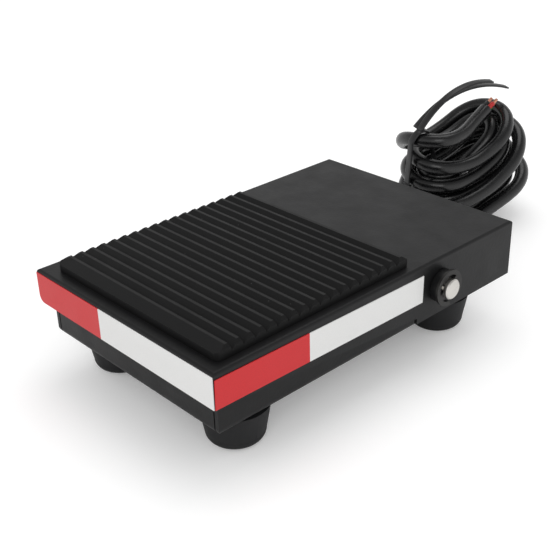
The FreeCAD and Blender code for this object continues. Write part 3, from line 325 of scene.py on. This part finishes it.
class Finishes:
    """The pedal's finishes, each named as its material slot in the record."""

    COVER_PAINT = PowderCoat("cover_paint", (0.0085, 0.0085, 0.009), 0.42, 0.26, grain_depth=0.000022)
    TRAY_PAINT = PowderCoat("tray_paint", (0.008, 0.008, 0.0085), 0.45, 0.26, grain_depth=0.000022)
    PAD_RUBBER = MouldedRubber("pad_rubber", (0.0030, 0.0030, 0.0032), 0.46, 0.26, grain_size=0.0004,
                               grain_depth=0.00001)
    FOOT_RUBBER = MouldedRubber("foot_rubber", (0.014, 0.014, 0.015), 0.62, 0.30, grain_size=0.0004,
                                grain_depth=0.000012)
    STRIP_RED = PrintedFilm("strip_red", (0.62, 0.016, 0.021), 0.38, 0.4)
    STRIP_WHITE = PrintedFilm("strip_white", (0.80, 0.80, 0.79), 0.40, 0.4, print_share=0.02)
    PIN_STEEL = TurnedMetal("pin_steel", (0.72, 0.70, 0.66), 0.30, metallic=1.0, grain_size=0.0015,
                            grain_depth=0.000003)
    CLIP_STEEL = Finish("clip_steel", (0.030, 0.029, 0.028), 0.38, 0.5, metallic=0.6)
    SPRING_STEEL = TurnedMetal("spring_steel", (0.50, 0.49, 0.47), 0.32, metallic=1.0)
    ZINC_STEEL = Finish("zinc_steel", (0.60, 0.60, 0.57), 0.34, metallic=1.0, grain_size=0.0008)
    BLACK_PLASTIC = Finish("black_plastic", (0.006, 0.006, 0.0065), 0.42, 0.30, grain_depth=0.000006)
    SWITCH_PLASTIC = Finish("switch_plastic", (0.020, 0.019, 0.018), 0.36, 0.5, grain_depth=0.000004)
    PLUNGER_PLASTIC = Finish("plunger_plastic", (0.55, 0.06, 0.04), 0.35, 0.5)
    TERMINAL_BRASS = TurnedMetal("terminal_brass", (0.72, 0.53, 0.25), 0.33, metallic=1.0)
    CARD = Finish("card", (0.10, 0.035, 0.018), 0.62, 0.3, patch_size=0.004, patch_share=0.2)
    CORD_JACKET = Finish("cord_jacket", (0.0050, 0.0050, 0.0055), 0.26, 0.6, patch_size=0.006,
                         rough_share=0.2, grain_size=0.0012, grain_depth=0.00003)
    WIRE_RED = Finish("wire_red", (0.50, 0.020, 0.018), 0.38, 0.5)
    WIRE_BLACK = Finish("wire_black", (0.014, 0.014, 0.015), 0.38, 0.5)
    WIRE_GREEN = Finish("wire_green", (0.030, 0.24, 0.055), 0.38, 0.5)
    COPPER = TurnedMetal("copper", (0.82, 0.40, 0.27), 0.30, metallic=1.0, grain_size=0.0006)
    TIE_PLASTIC = Finish("tie_plastic", (0.012, 0.012, 0.013), 0.40, 0.5, grain_size=0.0005,
                         grain_depth=0.00001)


@cache
def material_of(finish: Finish) -> bpy.types.Material:
    """The finish's one material, built when it is first asked for."""
    return finish.material()


def dress_node(node: str, finish: Finish) -> None:
    """Gives a carried-over CAD node its finish.

    Args:
        node: the node's name.
        finish: its finish.
    """
    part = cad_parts[node]
    if not part.material_slots:
        part.data.materials.append(material_of(finish))
    for slot in part.material_slots:
        slot.material = material_of(finish)
    log.info("dressed %s with %s", node, finish.name)


def dress_piece(piece: bpy.types.Object, finish: Finish, body: Body) -> None:
    """Gives a new piece its finish and the body that it moves with.

    Args:
        piece: the new piece.
        finish: its finish.
        body: the body that carries it.
    """
    piece.data.materials.append(material_of(finish))
    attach(piece, body.value)
    log.info("made %s on %s", piece.name, body.value)


@dataclass
class PhotoCamera:
    """The camera, at the photograph's place and angle."""

    azimuth: float = 47.31
    elevation: float = 27.88
    roll: float = -1.59
    place: Triple = (0.17263, -0.16062, 0.14366)
    focal_pixels: float = 988.5
    frame_pixels: int = 560
    film_width: float = 36.0
    nearest_seen: float = 0.01

    def turned(self) -> Matrix:
        """Works out the camera's attitude.

        Returns:
            The matrix whose columns are the picture's right, up and the way back to the camera.
        """
        turn = math.radians(self.azimuth)
        rise = math.radians(self.elevation)
        roll = math.radians(self.roll)
        back = Vector((math.sin(turn) * math.cos(rise), -math.cos(turn) * math.cos(rise), math.sin(rise)))
        level = Vector((math.cos(turn), math.sin(turn), 0))
        upright = back.cross(level)
        right = math.cos(roll) * level + math.sin(roll) * upright
        up = math.cos(roll) * upright - math.sin(roll) * level
        return Matrix((right, up, back)).transposed()

    def build(self) -> None:
        """Makes the camera and gives it to the scene."""
        data = bpy.data.cameras.new("photo_camera")
        data.sensor_width = self.film_width
        data.lens = self.focal_pixels / self.frame_pixels * self.film_width
        data.clip_start = self.nearest_seen
        camera = bpy.data.objects.new("photo_camera", data)
        camera.matrix_world = Matrix.Translation(Vector(self.place)) @ self.turned().to_4x4()
        bpy.context.scene.collection.objects.link(camera)
        bpy.context.scene.camera = camera


@dataclass
class Studio:
    """The plain pale floor, the white surroundings and two soft lamps."""

    floor_half: float = 6.0
    floor_colour: Colour = (0.90, 0.90, 0.90)
    floor_lift: float = 0.20
    room_level: float = 0.80
    horizon_gloss: float = 0.80
    ceiling_gloss: float = 0.30
    horizon_height: float = 0.25
    ceiling_height: float = 0.75
    floor_roughness: float = 0.9
    top_lamp_power: float = 2.2
    top_lamp_size: float = 0.7
    top_lamp_place: Triple = (-0.15, 0.30, 0.95)
    front_lamp_power: float = 1.2
    front_lamp_size: float = 0.5
    front_lamp_place: Triple = (0.55, -0.60, 0.55)

    def build_floor(self) -> None:
        """Makes the pale floor, which keeps the pedal's shadow."""
        graph = NodeGraph("floor")
        graph.surface.inputs["Base Color"].default_value = (*self.floor_colour, 1)
        graph.surface.inputs["Roughness"].default_value = self.floor_roughness
        graph.surface.inputs["Specular IOR Level"].default_value = 0.0
        graph.surface.inputs["Emission Color"].default_value = (1, 1, 1, 1)
        seen = graph.nodes.new("ShaderNodeLightPath").outputs["Is Camera Ray"]
        lift = graph.spread(seen, 0.0, self.floor_lift, 0.0, 1.0)
        graph.links.new(lift, graph.surface.inputs["Emission Strength"])
        mesh = bpy.data.meshes.new("floor")
        half = self.floor_half
        corners = [(-half, -half, 0), (half, -half, 0), (half, half, 0), (-half, half, 0)]
        mesh.from_pydata(corners, [], [(0, 1, 2, 3)])
        mesh.materials.append(graph.material)
        floor = bpy.data.objects.new("floor", mesh)
        bpy.context.scene.collection.objects.link(floor)

    def build_room(self) -> None:
        """Makes the surroundings: white to the camera, plain as light, darker overhead in reflections."""
        world = bpy.data.worlds.new("room")
        world.use_nodes = True
        bpy.context.scene.world = world
        nodes = world.node_tree.nodes
        links = world.node_tree.links
        nodes.clear()
        output = nodes.new("ShaderNodeOutputWorld")
        path = nodes.new("ShaderNodeLightPath")
        plain = nodes.new("ShaderNodeBackground")
        plain.inputs["Strength"].default_value = self.room_level
        mirrored = nodes.new("ShaderNodeBackground")
        place = nodes.new("ShaderNodeTexCoord")
        split = nodes.new("ShaderNodeSeparateXYZ")
        links.new(place.outputs["Generated"], split.inputs["Vector"])
        height = nodes.new("ShaderNodeMapRange")
        links.new(split.outputs["Z"], height.inputs["Value"])
        height.inputs["From Min"].default_value = self.horizon_height
        height.inputs["From Max"].default_value = self.ceiling_height
        height.inputs["To Min"].default_value = self.horizon_gloss
        height.inputs["To Max"].default_value = self.ceiling_gloss
        links.new(height.outputs["Result"], mirrored.inputs["Strength"])
        white = nodes.new("ShaderNodeBackground")
        for background in (plain, mirrored, white):
            background.inputs["Color"].default_value = (1, 1, 1, 1)
        glossy = nodes.new("ShaderNodeMath")
        glossy.operation = "MAXIMUM"
        links.new(path.outputs["Is Glossy Ray"], glossy.inputs[0])
        links.new(path.outputs["Is Transmission Ray"], glossy.inputs[1])
        reflected = nodes.new("ShaderNodeMixShader")
        links.new(glossy.outputs["Value"], reflected.inputs["Fac"])
        links.new(plain.outputs["Background"], reflected.inputs[1])
        links.new(mirrored.outputs["Background"], reflected.inputs[2])
        seen = nodes.new("ShaderNodeMixShader")
        links.new(path.outputs["Is Camera Ray"], seen.inputs["Fac"])
        links.new(reflected.outputs["Shader"], seen.inputs[1])
        links.new(white.outputs["Background"], seen.inputs[2])
        links.new(seen.outputs["Shader"], output.inputs["Surface"])

    def build_lamp(self, name: str, place: Triple, power: float, size: float) -> None:
        """Makes one soft lamp that faces the pedal.

        Args:
            name: the lamp's name.
            place: where it hangs.
            power: its power in watts.
            size: the side of its square face.
        """
        data = bpy.data.lights.new(name, "AREA")
        data.energy = power
        data.size = size
        lamp = bpy.data.objects.new(name, data)
        lamp.location = place
        lamp.rotation_euler = Vector(place).to_track_quat("Z", "Y").to_euler()
        bpy.context.scene.collection.objects.link(lamp)

    def build(self) -> None:
        """Makes the floor, the room and the lamps."""
        bpy.context.scene.view_settings.view_transform = "Standard"
        self.build_floor()
        self.build_room()
        self.build_lamp("top_lamp", self.top_lamp_place, self.top_lamp_power, self.top_lamp_size)
        self.build_lamp("front_lamp", self.front_lamp_place, self.front_lamp_power, self.front_lamp_size)


@dataclass
class SpareCord:
    """The cord behind the pedal: a short lead, the tied hank and a bare end."""

    diameter: float = 0.0046
    exit: Triple = (0.0, 0.064, 0.017)
    length: float = 0.782
    hank_middle: Triple = (-0.018, 0.1034, 0.0)
    half_length: float = 0.0230
    half_width: float = 0.0150
    pitch: float = 0.0053
    laps: float = 7.5
    waist_step: float = 0.0058
    near_step: float = 0.0080
    far_step: float = 0.0075
    tilt: float = -10.0
    rise: float = 20.0
    turn: float = -15.0
    floor_gap: float = 0.0010
    laps_inward: int = 2
    climb_laps: float = 0.5
    reversals: tuple[int, ...] = (2, 4, 6)
    points_per_lap: int = 20
    probes_per_lap: int = 72
    roundness: int = 6
    lead_exit_run: float = 0.0074
    lead_arrival_run: float = 0.0063
    lead_sag: float = 0.0017
    lead_side_sag: float = 0.0006
    lead_bends: Pair = (0.38, 0.70)
    tail_first_run: float = 0.0026
    tail_turns: tuple[Triple, ...] = ((-0.0132, -0.0127, 0.0200), (-0.0077, -0.0158, 0.0277),
                                      (0.0011, -0.0144, 0.0304), (0.0073, -0.0089, 0.0298),
                                      (0.0058, -0.0008, 0.0270), (0.0031, 0.0057, 0.0266),
                                      (0.0007, 0.0124, 0.0261))

    def racetrack(self, lap: float, half_length: float, half_width: float) -> tuple[float, float]:
        """A place on a loop with two straight sides.

        Args:
            lap: how many times round, from the middle of the right side, counter-clockwise.
            half_length: half the loop's length.
            half_width: half its width.

        Returns:
            How far across and how far along the place is.
        """
        straight = half_length - half_width
        half_circle = math.pi * half_width
        travelled = (lap % 1.0) * (4 * straight + 2 * half_circle)
        if travelled < straight:
            return half_width, travelled
        travelled -= straight
        if travelled < half_circle:
            angle = travelled / half_width
            return half_width * math.cos(angle), straight + half_width * math.sin(angle)
        travelled -= half_circle
        if travelled < 2 * straight:
            return -half_width, straight - travelled
        travelled -= 2 * straight
        if travelled < half_circle:
            angle = travelled / half_width
            return -half_width * math.cos(angle), -straight - half_width * math.sin(angle)
        travelled -= half_circle
        return half_width, travelled - straight

    def smooth(self, part: float) -> float:
        """An even ease from 0 to 1."""
        part = min(1.0, max(0.0, part))
        return part * part * (3 - 2 * part)

    def flat_point(self, lap: float) -> Vector:
        """A place in the hank before it is tilted.

        Args:
            lap: how many laps of the cord come before it.

        Returns:
            The place: it spirals in and out, and climbs a layer at each reversal.
        """
        in_and_out = lap % (2 * self.laps_inward)
        if in_and_out > self.laps_inward:
            in_and_out = 2 * self.laps_inward - in_and_out
        inward = self.pitch * in_and_out
        level = sum(self.smooth((lap - reversal) / self.climb_laps + 0.5) for reversal in self.reversals)
        across, along = self.racetrack(lap, self.half_length - inward, self.half_width - inward)
        end_step = self.far_step if along > 0 else self.near_step
        ease = self.smooth(abs(along) / self.half_length)
        step = self.waist_step + (end_step - self.waist_step) * ease
        return Vector((across, along, level * step))

    def attitude(self) -> Matrix:
        """The hank's lean to one side, rise to the rear and turn about the vertical."""
        turn = Matrix.Rotation(math.radians(self.turn), 4, "Z")
        rise = Matrix.Rotation(math.radians(self.rise), 4, "X")
        return turn @ rise @ Matrix.Rotation(math.radians(-self.tilt), 4, "Y")

    def placement(self) -> Matrix:
        """Works out where the hank lies.

        Returns:
            The hank's attitude and place, with its lowest loop on the floor.
        """
        attitude = self.attitude()
        steps = range(int(self.laps * self.probes_per_lap) + 1)
        lowest = min((attitude @ self.flat_point(step / self.probes_per_lap)).z for step in steps)
        lift = self.diameter / 2 + self.floor_gap - lowest
        return Matrix.Translation(Vector(self.hank_middle) + Vector((0, 0, lift))) @ attitude

    def hank_points(self) -> list[Vector]:
        """Works out the hank's turns.

        Returns:
            The points of the cord's middle line through the hank.
        """
        place = self.placement()
        steps = range(int(self.laps * self.points_per_lap) + 1)
        return [place @ self.flat_point(step / self.points_per_lap) for step in steps]

    def way(self, lap: float) -> Vector:
        """The cord's direction at a place in the hank.

        Args:
            lap: the place, in laps.

        Returns:
            The direction, of length 1.
        """
        small = 0.001
        before = self.flat_point(max(0, lap - small))
        after = self.flat_point(min(self.laps, lap + small))
        return (self.attitude().to_3x3() @ (after - before)).normalized()

    def lead_points(self, hank_start: Vector) -> list[Vector]:
        """The stretch from the sleeve to the hank.

        Args:
            hank_start: the hank's first point.

        Returns:
            The points up to the hank's first.
        """
        way = self.way(0)
        start = hank_start - way * self.diameter
        relief_end = Vector(self.exit)
        leaving = relief_end + Vector((0, self.lead_exit_run, 0))
        arriving = start - way * self.lead_arrival_run
        span = arriving - leaving
        early, late = self.lead_bends
        return [
            relief_end,
            leaving,
            leaving + span * early + Vector((-self.lead_side_sag / 2, 0, -self.lead_sag / 3)),
            leaving + span * late + Vector((-self.lead_side_sag, 0, -self.lead_sag)),
            arriving,
            start,
        ]

    def tail_points(self, hank_end: Vector) -> list[Vector]:
        """The free end's route: up beside the near folds, across them and back over the hank.

        Args:
            hank_end: the hank's last point.

        Returns:
            The points after the hank's last.
        """
        way = self.way(self.laps)
        here = hank_end + way * self.diameter
        place = self.placement()
        return [here, here + way * self.tail_first_run] + [place @ Vector(turn) for turn in self.tail_turns]

    def route(self) -> list[Vector]:
        """All the points that the cord's middle line follows.

        Returns:
            The points, from the sleeve to the bare end.
        """
        hank = self.hank_points()
        return self.lead_points(hank[0]) + hank + self.tail_points(hank[-1])

    def build(self) -> None:
        data = bpy.data.curves.new("mains_cord", "CURVE")
        data.dimensions = "3D"
        spline = data.splines.new("NURBS")
        points = self.route()
        spline.points.add(len(points) - 1)
        for place, point in zip(points, spline.points):
            point.co = (*place, 1)
        spline.order_u = 3
        spline.use_endpoint_u = True
        spline.resolution_u = self.roundness
        data.bevel_depth = self.diameter / 2
        data.bevel_resolution = self.roundness
        data.use_fill_caps = True
        cord = bpy.data.objects.new("mains_cord", data)
        bpy.context.scene.collection.objects.link(cord)
        dress_piece(cord, Finishes.CORD_JACKET, Body.BASE)
        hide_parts("cord_lead", "cord_hank", "cord_tail")
        Tie(self).build()
        BareEnd(self).build()


def swept(name: str, rings: list[list[Vector]], closed: bool) -> bpy.types.Object:
    """Makes a smooth piece from rings of points.

    Args:
        name: the piece's name.
        rings: the rings, all with equally many points.
        closed: whether the last ring joins the first.

    Returns:
        The piece.
    """
    around = len(rings[0])
    count = len(rings)
    faces = []
    for ring in range(count if closed else count - 1):
        here = ring * around
        there = (ring + 1) % count * around
        for step in range(around):
            after = (step + 1) % around
            faces.append((here + step, here + after, there + after, there + step))
    if not closed:
        faces.append(tuple(range(around - 1, -1, -1)))
        faces.append(tuple(range((count - 1) * around, count * around)))
    mesh = bpy.data.meshes.new(name)
    mesh.from_pydata([tuple(point) for ring in rings for point in ring], [], faces)
    for face in mesh.polygons:
        face.use_smooth = True
    piece = bpy.data.objects.new(name, mesh)
    bpy.context.scene.collection.objects.link(piece)
    return piece


@dataclass
class Tie:
    """The flat tie: a band round the near folds, and two free ends that arch over the hank."""

    cord: SpareCord
    width: float = 0.0024
    thickness: float = 0.0006
    gap: float = 0.0004
    outer_laps: tuple[float, ...] = (0.75, 3.75, 4.75)
    crossings: tuple[Pair, ...] = ((-0.0149, 0.0295), (-0.0137, 0.0303))
    inner_laps: tuple[float, ...] = (5.75, 1.75)
    inner_shift: float = 0.0011
    upper_end: Triple = (0.0303, 0.0015, 0.0055)
    lower_end: Triple = (0.0377, -0.0063, 0.0065)
    lower_shift: float = -0.0020
    end_steps: int = 40
    corner_steps: int = 4
    overlap_share: float = 0.8
    section: tuple[Pair, ...] = ((-0.5, -0.3), (-0.4, -0.5), (0.4, -0.5), (0.5, -0.3),
                                 (0.5, 0.3), (0.4, 0.5), (-0.4, 0.5), (-0.5, 0.3))

    def centres(self) -> list[Pair]:
        """Works out what the band goes round.

        Returns:
            The middles of the folds, clockwise, each as along and height.
        """
        folds = [self.cord.flat_point(lap) for lap in self.outer_laps]
        inner = [self.cord.flat_point(lap) for lap in self.inner_laps]
        outside = [(fold.y, fold.z) for fold in folds]
        return outside + list(self.crossings) + [(fold.y + self.inner_shift, fold.z) for fold in inner]

    def band_line(self) -> list[Vector]:
        """Works out the band's middle line.

        Returns:
            The points, in the hank's own middle plane.
        """
        reach = self.cord.diameter / 2 + self.gap + self.thickness / 2
        middles = [Vector((0, *centre)) for centre in self.centres()]
        line = []
        count = len(middles)
        for index, middle in enumerate(middles):
            before = (middle - middles[index - 1]).normalized()
            after = (middles[(index + 1) % count] - middle).normalized()
            first = math.atan2(before.y, -before.z)
            turn = (math.atan2(after.y, -after.z) - first + math.pi) % (2 * math.pi) - math.pi
            for step in range(self.corner_steps + 1):
                angle = first + turn * step / self.corner_steps
                line.append(middle + Vector((0, math.cos(angle), math.sin(angle))) * reach)
        return line

    def end_line(self, reach: float, rise: float, bulge: float) -> list[Vector]:
        """Works out a free end's middle line.

        Args:
            reach: how far along the hank it goes.
            rise: how much higher it ends.
            bulge: how far its middle stands over the straight line.

        Returns:
            The points, in the hank's own middle plane.
        """
        along, height = self.crossings[-1]
        lift = self.cord.diameter / 2 + self.gap + self.thickness * self.overlap_share
        start = Vector((0, along, height + lift))
        line = []
        for step in range(self.end_steps + 1):
            part = step / self.end_steps
            line.append(start + Vector((0, reach * part, rise * part + 4 * bulge * part * (1 - part))))
        return line

    def ribbon(self, name: str, line: list[Vector], closed: bool, shift: float) -> bpy.types.Object:
        """Makes a flat strip along a line.

        Args:
            name: the piece's name.
            line: the strip's middle line, in the hank's own middle plane.
            closed: whether the line is a loop.
            shift: how far aside the strip lies.

        Returns:
            The piece.
        """
        place = self.cord.placement()
        rings = []
        count = len(line)
        for index, middle in enumerate(line):
            before = line[index - 1] if closed or index > 0 else middle
            after = line[(index + 1) % count] if closed or index < count - 1 else middle
            way = (after - before).normalized()
            out = Vector((0, -way.z, way.y))
            ring = []
            for across, outward in self.section:
                corner = Vector((shift + across * self.width, 0, 0)) + out * (outward * self.thickness)
                ring.append(place @ (middle + corner))
            rings.append(ring)
        piece = swept(name, rings, closed)
        dress_piece(piece, Finishes.TIE_PLASTIC, Body.BASE)
        return piece

    def build(self) -> list[bpy.types.Object]:
        """Makes the band and the two free ends.

        Returns:
            The three pieces.
        """
        pieces = [
            self.ribbon("tie_band", self.band_line(), True, 0.0),
            self.ribbon("tie_upper_end", self.end_line(*self.upper_end), False, 0.0),
            self.ribbon("tie_lower_end", self.end_line(*self.lower_end), False, self.lower_shift),
        ]
        for piece in pieces:
            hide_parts("hank_tie")
        return pieces


@dataclass
class CutFace:
    """The cord's cut face: its middle, the way it looks and two directions across it."""

    middle: Vector
    way: Vector

    def __post_init__(self) -> None:
        """Works out the two directions across the face."""
        self.across = self.way.cross(Vector((0, 0, 1))).normalized()
        self.upward = self.across.cross(self.way)

    def aside(self, angle: float, reach: float) -> Vector:
        """The step from an axis to a place round it."""
        return self.across * (reach * math.cos(angle)) + self.upward * (reach * math.sin(angle))


@dataclass
class BareEnd:
    """The three cores that stand out of the cut jacket, with their bare copper strands."""

    cord: SpareCord
    core_radius: float = 0.0008
    core_offset: float = 0.0011
    core_length: float = 0.0034
    core_turn: float = 30.0
    core_rounding: tuple[Pair, ...] = ((0.0, 1.0), (0.90, 1.0), (0.97, 0.93), (1.0, 0.75))
    strand_start: float = 0.90
    strand_length: float = 0.0024
    strand_radius: float = 0.00019
    strands: int = 5
    strand_ring: float = 0.00032
    strand_steps: int = 6
    twist: float = 80.0
    sides: int = 12

    def cut_face(self) -> CutFace:
        """The face at the end of the cord's route."""
        route = self.cord.route()
        return CutFace(route[-1], (route[-1] - route[-2]).normalized())

    def bar(self, name: str, face: CutFace, line: list[Vector], sizes: list[float]) -> bpy.types.Object:
        """Makes a round bar along a line.

        Args:
            name: the piece's name.
            face: the cut face that the bar stands on.
            line: the points of its middle line.
            sizes: its radius at each point.

        Returns:
            The piece.
        """
        angles = [2 * math.pi * step / self.sides for step in range(self.sides)]
        rings = [[middle + face.aside(angle, size) for angle in angles] for middle, size in zip(line, sizes)]
        return swept(name, rings, False)

    def core(self, number: int, face: CutFace, root: Vector, finish: Finish) -> bpy.types.Object:
        """Makes one insulated core with a rounded end.

        Args:
            number: which core it is, from 1.
            face: the cut face.
            root: where the core leaves the face.
            finish: the finish of its insulation.

        Returns:
            The piece.
        """
        line = [root + face.way * (self.core_length * part) for part, _ in self.core_rounding]
        sizes = [self.core_radius * size for _, size in self.core_rounding]
        piece = self.bar(f"end_core_{number}", face, line, sizes)
        dress_piece(piece, finish, Body.BASE)
        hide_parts("cord_end_cores")
        return piece

    def strand(self, number: int, core_number: int, face: CutFace, root: Vector) -> bpy.types.Object:
        """Makes one bare strand, which winds a little round its core's axis.

        Args:
            number: which strand it is, from 0.
            core_number: which core it belongs to, from 1.
            face: the cut face.
            root: where the core leaves the face.

        Returns:
            The piece.
        """
        start = math.radians(360 * number / self.strands)
        low = self.core_length * self.strand_start
        run = self.strand_length + self.core_length * (1 - self.strand_start)
        line = []
        for step in range(self.strand_steps + 1):
            part = step / self.strand_steps
            turned = start + math.radians(self.twist) * part
            line.append(root + face.way * (low + run * part) + face.aside(turned, self.strand_ring))
        sizes = [self.strand_radius] * len(line)
        piece = self.bar(f"end_strand_{core_number}_{number + 1}", face, line, sizes)
        dress_piece(piece, Finishes.COPPER, Body.BASE)
        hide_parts("cord_end_strands")
        return piece

    def build(self) -> list[bpy.types.Object]:
        """Makes the cores and the strands.

        Returns:
            All the pieces.
        """
        face = self.cut_face()
        finishes = (Finishes.WIRE_RED, Finishes.WIRE_BLACK, Finishes.WIRE_GREEN)
        pieces = []
        for index, finish in enumerate(finishes):
            angle = math.radians(360 * index / len(finishes) + self.core_turn)
            root = face.middle + face.aside(angle, self.core_offset)
            pieces.append(self.core(index + 1, face, root, finish))
            pieces += [self.strand(number, index + 1, face, root) for number in range(self.strands)]
        return pieces


@dataclass
class Treadle:
    """The folded cover that the foot presses, its rubber pad and its two-tone strips."""

    def build(self) -> None:
        """Dresses the cover and what is fixed to it."""
        dress_node("treadle_cover", Finishes.COVER_PAINT)
        dress_node("tread_pad", Finishes.PAD_RUBBER)
        for strip in ("front_strip", "side_strip"):
            dress_node(f"{strip}_red", Finishes.STRIP_RED)
            dress_node(f"{strip}_white", Finishes.STRIP_WHITE)
        dress_node("striker_plate", Finishes.ZINC_STEEL)
        dress_node("spring_cup", Finishes.ZINC_STEEL)


@dataclass
class Tray:
    """The folded tray under the cover, with its feet and its stops."""

    def build(self) -> None:
        """Dresses the tray and what is fixed to it."""
        dress_node("base_tray", Finishes.TRAY_PAINT)
        for end in ("front", "rear"):
            for side in ("left", "right"):
                dress_node(f"foot_{end}_{side}", Finishes.FOOT_RUBBER)
        dress_node("foot_screws", Finishes.ZINC_STEEL)
        dress_node("foot_nuts", Finishes.ZINC_STEEL)
        dress_node("down_stop", Finishes.FOOT_RUBBER)
        dress_node("rest_stops", Finishes.FOOT_RUBBER)


@dataclass
class Hinge:
    """The pin across the pedal, its clips and spacers, and the return spring."""

    def build(self) -> None:
        """Dresses the hinge and the spring."""
        dress_node("hinge_pin", Finishes.PIN_STEEL)
        dress_node("pin_spacers", Finishes.BLACK_PLASTIC)
        dress_node("retaining_clips", Finishes.CLIP_STEEL)
        dress_node("spring_seat", Finishes.BLACK_PLASTIC)
        dress_node("return_spring", Finishes.SPRING_STEEL)


@dataclass
class Switch:
    """The snap-action switch on its bracket, with its terminals and card."""

    def build(self) -> None:
        """Dresses the switch and what holds it."""
        dress_node("switch_body", Finishes.SWITCH_PLASTIC)
        dress_node("switch_plunger", Finishes.PLUNGER_PLASTIC)
        dress_node("switch_lever", Finishes.SPRING_STEEL)
        dress_node("switch_bracket", Finishes.ZINC_STEEL)
        dress_node("bracket_rivets", Finishes.ZINC_STEEL)
        dress_node("switch_screws", Finishes.ZINC_STEEL)
        dress_node("switch_nuts", Finishes.ZINC_STEEL)
        dress_node("switch_terminals", Finishes.TERMINAL_BRASS)
        dress_node("insulating_card", Finishes.CARD)


@dataclass
class CordEntry:
    """The sleeve, the clamp and the three wires inside."""

    def build(self) -> None:
        """Dresses the entry and the wiring."""
        dress_node("strain_relief", Finishes.BLACK_PLASTIC)
        dress_node("cord_inner_jacket", Finishes.CORD_JACKET)
        dress_node("cord_clamp", Finishes.ZINC_STEEL)
        dress_node("clamp_screws", Finishes.ZINC_STEEL)
        dress_node("earth_ring", Finishes.TERMINAL_BRASS)
        dress_node("earth_screw", Finishes.ZINC_STEEL)
        dress_node("red_wire", Finishes.WIRE_RED)
        dress_node("black_wire", Finishes.WIRE_BLACK)
        dress_node("green_wire", Finishes.WIRE_GREEN)


def main() -> None:
    """Builds the camera, the cord, the pedal's sub-assemblies and the studio."""
    logging.basicConfig(level=logging.INFO, format="%(message)s")
    for assembly in (PhotoCamera(), SpareCord(), Treadle(), Tray(), Hinge(), Switch(), CordEntry(), Studio()):
        log.info("building %s", type(assembly).__name__)
        assembly.build()


if __name__ == "__main__":
    main()
